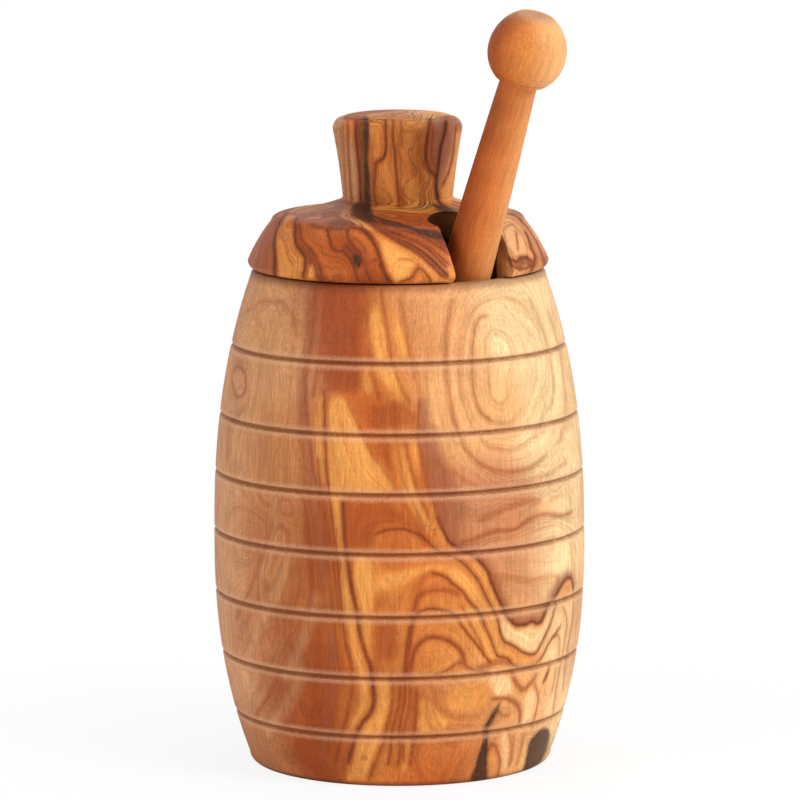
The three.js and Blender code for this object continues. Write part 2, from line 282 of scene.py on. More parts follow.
def ball_outline():
    def at(z):
        return math.sqrt(BALL_RADIUS**2 - (z - BALL_CENTRE) ** 2)

    line, half = BALL_FOOT + BALL_LINE_STEP, BALL_LINE_WIDTH / 2
    outline = [(BALL_FOOT_RADIUS, BALL_FOOT), (at(line - half), line - half)]
    outline += [(at(line) - BALL_LINE_DEPTH, line), (at(line + half), line + half)]
    start = math.asin((line + half - BALL_CENTRE) / BALL_RADIUS) / (math.pi / 2)
    end = math.acos(BALL_TOP_RADIUS / BALL_RADIUS)
    rise = BALL_TOP_HEIGHT / math.sin(end)
    lower = arc(0, BALL_CENTRE, BALL_RADIUS, BALL_RADIUS, start, 0, 2 * ARC_STEPS)[1:]
    upper = arc(0, BALL_CENTRE, BALL_RADIUS, rise, 0, end / (math.pi / 2), 2 * ARC_STEPS)[1:]
    return outline + lower + upper + [(BALL_TOP_RADIUS / 2, DIPPER_LENGTH), (0, DIPPER_LENGTH)]


def dipper_outline():
    handle = [(handle_radius(z), z) for z in np.linspace(HEAD_LENGTH, BALL_FOOT, 80)]
    return [(0, 0)] + head_outline() + handle + ball_outline()


# Meshes


def new_mesh(name, verts, faces):
    mesh = bpy.data.meshes.new(name)
    mesh.from_pydata(verts, [], faces)
    mesh.update()
    return mesh


def lathe(name, outline, segments):
    """A closed mesh of revolution about +Z from an outline that starts and ends on the axis."""
    rings, verts, faces = [], [], []
    turns = np.arange(segments) * 2 * math.pi / segments
    for r, z in outline:
        if r <= 0:
            rings.append([len(verts)] * segments)
            verts.append((0, 0, z * MM))
        else:
            rings.append(list(range(len(verts), len(verts) + segments)))
            verts += [(r * MM * math.cos(a), r * MM * math.sin(a), z * MM) for a in turns]
    for low, high in zip(rings, rings[1:]):
        for i in range(segments):
            j = (i + 1) % segments
            corners = (low[i], low[j], high[j], high[i])
            faces.append(tuple(dict.fromkeys(corners)))
    return new_mesh(name, verts, faces)


def smooth(mesh):
    mesh.polygons.foreach_set("use_smooth", [True] * len(mesh.polygons))
    mesh.set_sharp_from_angle(angle=SMOOTH_BELOW)


def add_piece(name, mesh, node, body):
    piece = bpy.data.objects.new(name, mesh)
    bpy.context.scene.collection.objects.link(piece)
    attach(piece, body)
    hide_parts(node)
    return piece


def turned(x, y, angle):
    """A point or a direction turned about +Z."""
    cos, sin = math.cos(angle), math.sin(angle)
    return x * cos - y * sin, x * sin + y * cos


def slot_cutter():
    """The slot's cutter, with fine flanks: straight sides and a round inner end."""
    half = SLOT_WIDTH / 2
    centre = SLOT_END + half
    flank = np.arange(BRIM_RADIUS + CUTTER_MARGIN, centre, -1.0)
    end = np.linspace(0, math.pi, CUTTER_ARC)
    plan = [(x, -half) for x in flank]
    plan += [(centre - half * math.sin(a), -half * math.cos(a)) for a in end]
    plan += [(x, half) for x in flank[::-1]]
    plan = [turned(x, y, SLOT_TURN) for x, y in plan]
    heights = np.arange(CUTTER_LOW, CUTTER_HIGH) + SEAT
    verts = [(x * MM, y * MM, z * MM) for z in heights for x, y in plan]
    n = len(plan)
    faces = []
    for k in range(len(heights) - 1):
        for i in range(n):
            j = (i + 1) % n
            faces.append((k * n + i, (k + 1) * n + i, (k + 1) * n + j, k * n + j))
    faces.append(tuple(range(n)))
    faces.append(tuple(range(len(verts) - 1, len(verts) - 1 - n, -1)))
    return new_mesh("slot_cutter", verts, faces)


def cut_slot(mesh):
    """mesh with the slot cut out of it."""
    blank = bpy.data.objects.new("lid_blank", mesh)
    cutter = bpy.data.objects.new("slot_cutter", slot_cutter())
    for made in (blank, cutter):
        bpy.context.scene.collection.objects.link(made)
    cut = blank.modifiers.new("slot", "BOOLEAN")
    cut.operation, cut.solver, cut.object = "DIFFERENCE", "EXACT", cutter
    bpy.context.view_layer.update()
    evaluated = blank.evaluated_get(bpy.context.evaluated_depsgraph_get())
    result = bpy.data.meshes.new_from_object(evaluated)
    for made in (blank, cutter):
        bpy.data.objects.remove(made)
    return result


def place_dipper():
    """The matrix that stands the upright dipper in the pot, its handle against the mouth's edge."""
    cos, sin = math.cos(DIPPER_LEAN), math.sin(DIPPER_LEAN)
    heading = SLOT_AZIMUTH + DIPPER_TURN
    lean = Vector((sin * math.sin(heading), -sin * math.cos(heading), cos))
    lowest = min(z * cos - r * sin for r, z in dipper_outline())
    tip_height = FLOOR_THICKNESS + REST_GAP - lowest
    to_rim = (POT_HEIGHT - tip_height) / cos
    reach = BORE_RADIUS - REST_GAP - handle_radius(to_rim) / cos
    outward = math.sqrt(reach**2 - DIPPER_SIDE_STEP**2)
    rim = Matrix.Rotation(SLOT_AZIMUTH, 3, "Z") @ Vector((DIPPER_SIDE_STEP, -outward, 0))
    tip = (rim + Vector((0, 0, POT_HEIGHT)) - lean * to_rim) * MM
    tilt = Vector((0, 0, 1)).rotation_difference(lean)
    return Matrix.Translation(tip) @ tilt.to_matrix().to_4x4()


def make_pot():
    mesh = lathe("pot_turned", pot_outline(), POT_SEGMENTS)
    smooth(mesh)
    return add_piece("pot_turned", mesh, "pot", "pot")


def make_lid():
    mesh = cut_slot(lathe("lid_turned", lid_outline(), LID_SEGMENTS))
    smooth(mesh)
    return add_piece("lid_turned", mesh, "lid", "lid")


def make_dipper():
    mesh = lathe("dipper_turned", dipper_outline(), DIPPER_SEGMENTS)
    mesh.transform(place_dipper())
    smooth(mesh)
    return add_piece("dipper_turned", mesh, "dipper", "dipper")


# Nodes


class Graph:
    """A short way to write the nodes of a material or a world."""

    def __init__(self, owner, bare=False):
        owner.use_nodes = True
        self.tree = owner.node_tree
        if bare:
            self.tree.nodes.clear()

    def feed(self, socket, value):
        """Links value to a socket, or sets it there if it is a plain number or colour."""
        if isinstance(value, bpy.types.NodeSocket):
            self.tree.links.new(value, socket)
        else:
            socket.default_value = value

    def put(self, kind, sockets=(), **settings):
        """A new node with its settings, and with its sockets fed by number or name."""
        node = self.tree.nodes.new(f"ShaderNode{kind}")
        for name, value in settings.items():
            setattr(node, name, value)
        for key, value in dict(sockets).items():
            self.feed(node.inputs[key], value)
        return node

    def math(self, operation, *values):
        return self.put("Math", enumerate(values), operation=operation).outputs[0]

    def add(self, a, b):
        return self.math("ADD", a, b)

    def times(self, a, b):
        return self.math("MULTIPLY", a, b)

    def halves(self, value):
        """The part of a number above zero, and the part below zero made positive."""
        return self.math("MAXIMUM", value, 0.0), self.math("MAXIMUM", self.times(value, -1.0), 0.0)

    def fade(self, value, start, end, low=0.0, high=1.0):
        """low up to start, high from end on, and a soft step between."""
        names = ("Value", "From Min", "From Max", "To Min", "To Max")
        sockets = zip(names, (value, start, end, low, high))
        return self.put("MapRange", sockets, interpolation_type="SMOOTHSTEP").outputs["Result"]

    def stored(self, name, vector=False):
        """What a mesh keeps under a name."""
        return self.put("Attribute", attribute_name=name).outputs["Vector" if vector else "Fac"]

    def join(self, *axes):
        return self.put("CombineXYZ", enumerate(axes)).outputs[0]

    def split(self, vector):
        return self.put("SeparateXYZ", {0: vector}).outputs

    def noise(self, vector, scale, detail, rough):
        sockets = {"Vector": vector, "Scale": scale, "Detail": detail, "Roughness": rough}
        return self.put("TexNoise", sockets).outputs["Fac"]

    def mix(self, share, first, second, blend="MIX"):
        """first with a share of second over it. The colour sockets are 6 and 7, and 2 going out."""
        first, second = ((*c, 1) if isinstance(c, tuple) else c for c in (first, second))
        sockets = {0: share, 6: first, 7: second}
        return self.put("Mix", sockets, data_type="RGBA", blend_type=blend).outputs[2]

    def shade(self, colour, factor):
        """colour made lighter or darker by a number."""
        return self.put("VectorMath", {0: colour, "Scale": factor}, operation="SCALE").outputs[0]

    def close(self, share, first, second, output):
        """Ends the tree with two shaders mixed by a share."""
        mixed = self.put("MixShader", {0: share, 1: first.outputs[0], 2: second.outputs[0]})
        self.put(output, {0: mixed.outputs[0]})


# Camera, light and floor


def make_camera():
    data = bpy.data.cameras.new("camera")
    data.sensor_width = SENSOR_WIDTH
    data.lens = CAMERA_FOCAL_PX / PHOTO_PX * data.sensor_width
    data.shift_x = (PHOTO_PX / 2 - CAMERA_CENTRE_PX) / PHOTO_PX
    data.clip_start, data.clip_end = 0.05, 20
    camera = bpy.data.objects.new("camera", data)
    camera.matrix_world = (
        Matrix.Translation((0, -CAMERA_DISTANCE * MM, CAMERA_HEIGHT * MM))
        @ Matrix.Rotation(math.pi / 2 - CAMERA_PITCH, 4, "X")
        @ Matrix.Rotation(-CAMERA_ROLL, 4, "Z")
    )
    bpy.context.scene.collection.objects.link(camera)
    bpy.context.scene.camera = camera


def make_lamps():
    for name, place, size, power in LAMPS:
        data = bpy.data.lights.new(name, "AREA")
        data.shape, data.size, data.energy = "DISK", size, power
        lamp = bpy.data.objects.new(name, data)
        lamp.location = place
        lamp.rotation_euler = (LAMP_AIM - Vector(place)).to_track_quat("-Z", "Y").to_euler()
        bpy.context.scene.collection.objects.link(lamp)
    bpy.context.scene.view_settings.view_transform = "Standard"


def make_world():
    """A world that is white to the camera and in gloss and glass, and a plain fill for light."""
    world = bpy.data.worlds.new("studio")
    graph = Graph(world, bare=True)
    rays = graph.put("LightPath").outputs
    seen = graph.math("MAXIMUM", rays["Is Camera Ray"], rays["Is Glossy Ray"])
    seen = graph.math("MAXIMUM", seen, rays["Is Transmission Ray"])
    fill, backdrop = (graph.put("Background", {"Strength": s}) for s in (WORLD_FILL, 1))
    graph.close(seen, fill, backdrop, "OutputWorld")
    bpy.context.scene.world = world


def make_floor():
    """A white floor that keeps the shadow near the pot and runs into the backdrop farther out."""
    mesh = bpy.data.meshes.new("floor")
    signs = ((-1, -1), (1, -1), (1, 1), (-1, 1))
    corners = [(x * FLOOR_REACH, y * FLOOR_REACH, -FLOOR_DROP * MM) for x, y in signs]
    mesh.from_pydata(corners, [], [(0, 1, 2, 3)])
    floor = bpy.data.objects.new("floor", mesh)
    bpy.context.scene.collection.objects.link(floor)
    material = bpy.data.materials.new("floor_white")
    graph = Graph(material, bare=True)
    place = graph.put("TexCoord").outputs["Object"]
    away = graph.put("VectorMath", {0: place}, operation="LENGTH").outputs["Value"]
    glowing = graph.fade(away, *SHADOW_FADE, SHADOW_GLOW, 1.0)
    seen = graph.times(glowing, graph.put("LightPath").outputs["Is Camera Ray"])
    matt, glow = graph.put("BsdfDiffuse", {"Color": FLOOR_COLOUR}), graph.put("Emission")
    graph.close(seen, matt, glow, "OutputMaterial")
    mesh.materials.append(material)


# Figure of the wood
#
# The figure is laid out as growth lines and patches, in pixels of the photograph's frame.
# Each place is cast onto the piece that carries it, and fields around those places are kept on the
# mesh as attributes. The materials draw lines, bands and patches from these fields.

PX = CAMERA_DISTANCE / CAMERA_FOCAL_PX
FAR = 1e9
FLOW_STEP, OUTLINE_STEP = 5.0, 3.0

# Growth lines, in millimetres: how far each is kept, how it fades past its ends and to its sides,
# and how far in pixels the lines of one layer stay apart
LINE_REACH, LINE_MARGIN, PLAIN_WIDTH = 4.0, 1.0, 0.4
END_FADE, INK_REACH, INK_FADE, SHADE_FADE = 1.2, 1.45, 0.5, 2
LAYER_CLEARANCE = 19
LEVEL_REACH, LEVEL_GIVE = 9, 1e-2

# Patches: pixels searched round an outline and kept at most, millimetres kept at most, and how
# edge-on a face is when its patches end, and how far they are pushed off it
OUTLINE_NEAR, OUTLINE_FAR, PATCH_FAR = 30, 60.0, 12.0
EDGE_ON, EDGE_PUSH = 0.07, 8

# Ground tints: the reach of one, and for those round the back how hidden a face has to be, how
# much of the height counts and how much farther they reach; then the weights kept far from all
GROUND_REACH, HIDDEN_BELOW, BACK_HEIGHT, BACK_REACH = 8.5, 0.2, 0.4, 2.4
FAR_WEIGHT, BACK_WEIGHT = 1e-6, 1e-5


def read_vectors(items, name):
    """One row for each of a mesh's items."""
    flat = np.empty(len(items) * 3)
    items.foreach_get(name, flat)
    return flat.reshape(-1, 3)


def round_to(azimuth, radius, height):
    """A place by its azimuth in degrees from -Y toward +X."""
    turn = math.radians(azimuth)
    return radius * math.sin(turn), -radius * math.cos(turn), height


def flowing(points, step=FLOW_STEP):
    """Points about step apart on a smooth curve through the given points."""
    points = np.array(points, float)
    if len(points) < 3:
        count = max(1, round(np.linalg.norm(points[1] - points[0]) / step))
        return points[0] + (points[1] - points[0]) * np.linspace(0, 1, count + 1)[:, None]
    ends = np.vstack([2 * points[0] - points[1], points, 2 * points[-1] - points[-2]])
    out = [points[0]]
    for p0, p1, p2, p3 in zip(ends, ends[1:], ends[2:], ends[3:]):
        count = max(1, round(np.linalg.norm(p2 - p1) / step))
        for t in (np.arange(count) + 1) / count:
            slope_in, slope_out = (p2 - p0) / 2, (p3 - p1) / 2
            out.append(
                (2 * t**3 - 3 * t**2 + 1) * p1 + (t**3 - 2 * t**2 + t) * slope_in
                + (3 * t**2 - 2 * t**3) * p2 + (t**3 - t**2) * slope_out
            )
    return np.array(out)


class Sight:
    """The camera's view of one mesh, in millimetres: pixels to places on it and back."""

    def __init__(self, mesh):
        self.places = read_vectors(mesh.vertices, "co") / MM
        self.normals = read_vectors(mesh.vertex_normals, "vector")
        faces = [list(face.vertices) for face in mesh.polygons]
        self.tree = BVHTree.FromPolygons(self.places.tolist(), faces)
        pitch, roll = math.pi / 2 - CAMERA_PITCH, -CAMERA_ROLL
        self.turn = Matrix.Rotation(pitch, 3, "X") @ Matrix.Rotation(roll, 3, "Z")
        self.eye = Vector((0, -CAMERA_DISTANCE, CAMERA_HEIGHT))
        self.pixels, self.seen = self.find_pixels(), self.find_seen()

    def place(self, x, y):
        """The place on the mesh that shows at a pixel, or the nearest if the pixel misses it."""
        aside, up = (x - CAMERA_CENTRE_PX) / CAMERA_FOCAL_PX, (PHOTO_PX / 2 - y) / CAMERA_FOCAL_PX
        ahead = (self.turn @ Vector((aside, up, -1))).normalized()
        hit = self.tree.ray_cast(self.eye, ahead)[0]
        if hit is None:
            hit = self.tree.find_nearest(self.eye + ahead * CAMERA_DISTANCE)[0]
        return hit

    def trace(self, pixels):
        """The places of a line of pixels."""
        return np.array([self.place(x, y) for x, y in flowing(pixels)])

    def find_pixels(self):
        local = (self.places - np.array(self.eye)) @ np.array(self.turn)
        return np.stack([
            CAMERA_CENTRE_PX - CAMERA_FOCAL_PX * local[:, 0] / local[:, 2],
            PHOTO_PX / 2 + CAMERA_FOCAL_PX * local[:, 1] / local[:, 2],
        ], 1)

    def find_seen(self):
        """How squarely the camera sees each vertex: 0 if hidden or edge-on, 1 if it faces it."""
        away = self.places - np.array(self.eye)
        reach = np.linalg.norm(away, axis=1)
        facing = -(away * self.normals).sum(1) / reach
        shown = np.zeros(len(facing), bool)
        for i in np.nonzero(facing > 0)[0]:
            hit, _, _, distance = self.tree.ray_cast(self.eye, Vector(away[i]) / reach[i])
            shown[i] = hit is not None and distance > reach[i] - HIT_MARGIN
        return np.where(shown, facing, 0)


def flow_field(sight, strokes, trend):
    """A smooth growth level for every vertex: the strokes' near them, the trend's far from them."""
    places, values = [], []
    for level, _, _, _, pixels in strokes.values():
        traced = sight.trace(pixels)[::2]
        places.append(traced)
        values += [level] * len(traced)
    places, values = np.concatenate(places), np.array(values)

    def kernel(where):
        gap = np.linalg.norm(where[:, None] - places[None], axis=2) * (math.sqrt(3) / LEVEL_REACH)
        return (1 + gap) * np.exp(-gap)

    give = LEVEL_GIVE * np.eye(len(places))
    weights = np.linalg.solve(kernel(places) + give, values - trend(places))
    parts = [kernel(part) @ weights for part in np.array_split(sight.places, 24)]
    return trend(sight.places) + np.concatenate(parts)


def beside_line(places, normals, line):
    """Distance and signed distance of places from a line, and how far past its ends they lie."""
    nearest, signed, past = np.full(len(places), FAR), np.zeros(len(places)), np.zeros(len(places))
    last = len(line) - 2
    for i, (a, b) in enumerate(zip(line, line[1:])):
        along = b - a
        length = np.linalg.norm(along)
        if length < 1e-6:
            continue
        share = (places - a) @ along / length**2
        clamped = share.clip(0, 1)
        gap = np.linalg.norm(places - a - clamped[:, None] * along, axis=1)
        over = np.zeros(len(places))
        if i == 0:
            over = np.maximum(over, -share * length)
        if i == last:
            over = np.maximum(over, (share - 1) * length)
        side = np.sign((np.cross(along, places - a) * normals).sum(1))
        closer = gap < nearest
        across = np.sqrt(np.maximum(gap**2 - over**2, 0))
        nearest = np.where(closer, gap, nearest)
        signed = np.where(closer, side * across, signed)
        past = np.where(closer, over, past)
    return nearest, signed, past


def sort_strokes(strokes):
    """Strokes in layers, so that those of one layer stay well apart."""
    layers = []
    for stroke in strokes.values():
        points = flowing(stroke[4])
        for layer in layers:
            gaps = [np.linalg.norm(points[:, None] - other, axis=2).min() for _, other in layer]
            if min(gaps) > LAYER_CLEARANCE:
                layer.append((stroke, points))
                break
        else:
            layers.append([(stroke, points)])
    return [[stroke for stroke, _ in layer] for layer in layers]


def keep(mesh, name, values):
    """Keeps a number or a vector for every vertex."""
    kind, field = ("FLOAT_VECTOR", "vector") if np.ndim(values) == 2 else ("FLOAT", "value")
    attribute = mesh.attributes.new(name, kind, "POINT")
    attribute.data.foreach_set(field, np.ascontiguousarray(values, np.float32).ravel())


def keep_strokes(mesh, sight, strokes):
    """Keeps each layer of strokes: signed distance, darkness and width, and the shade beside."""
    layers = sort_strokes(strokes)
    blank = (FAR, LINE_REACH, 0.0, PLAIN_WIDTH, 0.0)
    for k, layer in enumerate(layers):
        best, signed, ink, width, shade = (np.full(len(sight.places), v) for v in blank)
        for _, darkness, breadth, shading, pixels in layer:
            line = sight.trace(pixels)
            margin = LINE_REACH + LINE_MARGIN
            near = (sight.places > line.min(0) - margin) & (sight.places < line.max(0) + margin)
            ids = np.nonzero(near.all(1))[0]
            gap, side, past = beside_line(sight.places[ids], sight.normals[ids], line)
            closer = gap < best[ids]
            ids, gap, side, past = ids[closer], gap[closer], side[closer], past[closer]
            aside, fade = np.abs(side), np.clip(1 - past / END_FADE, 0, 1)
            best[ids], width[ids] = gap, breadth
            signed[ids] = np.clip(side, -LINE_REACH, LINE_REACH)
            inked = np.clip((INK_REACH + breadth / 2 - aside) / INK_FADE, 0, 1)
            ink[ids] = darkness * fade * inked
            shade[ids] = shading * fade * np.clip((LINE_REACH - aside) / SHADE_FADE, 0, 1)
        keep(mesh, f"stroke_{k}", np.stack([signed, ink, width], 1))
        keep(mesh, f"shade_{k}", shade)
    return len(layers)


def outside(pixels, outline):
    """Signed distance in pixels from an outline, negative inside it."""
    edge = flowing(list(outline) + [outline[0]], OUTLINE_STEP)
    low, high = edge.min(0) - OUTLINE_NEAR, edge.max(0) + OUTLINE_NEAR
    near = ((pixels > low) & (pixels < high)).all(1)
    found = np.full(len(pixels), OUTLINE_FAR)
    x, y = pixels[near].T
    best, inside = np.full(len(x), FAR), np.zeros(len(x), bool)
    for (x0, y0), (x1, y1) in zip(edge, edge[1:]):
        run, rise = x1 - x0, y1 - y0
        share = ((x - x0) * run + (y - y0) * rise) / (run * run + rise * rise + 1e-9)
        share = share.clip(0, 1)
        best = np.minimum(best, np.hypot(x - x0 - share * run, y - y0 - share * rise))
        if rise:
            inside ^= ((y0 > y) != (y1 > y)) & (x < x0 + (y - y0) * run / rise)
    found[near] = np.where(inside, -best, best)
    return found


def keep_patches(mesh, sight, patches):
    """Keeps, for each kind of patch, the signed distance in millimetres on what the camera sees."""
    push = EDGE_PUSH * np.clip((EDGE_ON - sight.seen) / EDGE_ON, 0, 1)
    for kind, outlines in patches.items():
        best = np.full(len(sight.places), OUTLINE_FAR)
        for outline in outlines:
            best = np.minimum(best, outside(sight.pixels, outline))
        keep(mesh, f"patch_{kind}", np.minimum(best * PX + push, PATCH_FAR))


def keep_ground(mesh, sight, swatches, round_back, reach):
    """Keeps a blend of the tints placed by pixel, and long soft ones on what the camera misses."""
    placed = [(TINTS[tint], sight.place(x, y)) for tint, x, y in swatches]
    placed += [(TINTS[tint], Vector(round_to(*where))) for tint, *where in round_back]
    tints, places = (np.array([pair[i] for pair in placed]) for i in (0, 1))
    hidden = np.clip(1 - sight.seen / HIDDEN_BELOW, 0, 1)
    back, blended = slice(len(swatches), None), []
    for part, unseen in zip(np.array_split(sight.places, 12), np.array_split(hidden, 12)):
        away = part[:, None] - places[None]
        gap = np.linalg.norm(away, axis=2)
        weight = np.exp(-((gap / reach) ** 2)) + FAR_WEIGHT / (1 + gap**3)
        long_gap = np.linalg.norm(away * (1, 1, BACK_HEIGHT), axis=2)[:, back]
        soft = np.exp(-((long_gap / (BACK_REACH * reach)) ** 2)) + BACK_WEIGHT
        weight[:, back] = unseen[:, None] * soft
        blended.append(weight @ tints / weight.sum(1)[:, None])
    keep(mesh, "ground", np.concatenate(blended))


def lay_figure(mesh, figure, trend, reach=GROUND_REACH, upright=None):
    """Keeps the whole figure of one piece, and returns the number of its layers of strokes."""
    strokes, patches, swatches, round_back = figure
    sight = Sight(mesh)
    keep(mesh, "upright", sight.places if upright is None else upright)
    keep(mesh, "level", flow_field(sight, strokes, trend) if strokes else trend(sight.places))
    keep_patches(mesh, sight, patches)
    keep_ground(mesh, sight, swatches, round_back, reach)
    return keep_strokes(mesh, sight, strokes)


def linear(*screen):
    """A colour given as on a screen, red, green and blue from 0 to 255, in linear light."""
    shares = [c / 255 for c in screen]
    return tuple(c / 12.92 if c <= 0.04045 else ((c + 0.055) / 1.055) ** 2.4 for c in shares)


# Tints of olive wood
TINTS = {
    "tan": linear(208, 150, 106),
    "rose": linear(190, 122, 78),
    "blush": linear(204, 138, 94),
    "orange": linear(198, 104, 46),
    "rust": linear(154, 68, 27),
    "brown": linear(94, 48, 29),
    "gold": linear(232, 162, 84),
    "amber": linear(216, 132, 62),
    "honey": linear(236, 176, 116),
    "cream": linear(252, 215, 160),
    "plum": linear(150, 86, 60),
    "smoke": linear(156, 112, 90),
}
# Dark brown of veins and ring lines; the same colour is the painted shade at the pot's rim and foot
VEIN_AND_SHADE = linear(98, 46, 24)
BLACK_WOOD = linear(54, 35, 27)
# Lips and bottoms of the grooves, and the slot's walls: the last is partly their darker end grain,
# partly painted shade inside the slot
LIP, GROOVE, WALL_GRAIN_AND_SHADE = linear(222, 176, 138), linear(142, 90, 60), linear(44, 22, 13)
BAND_DARK, BAND_LIGHT = (0.82, 0.66, 0.50), (1.14, 1.16, 1.16)

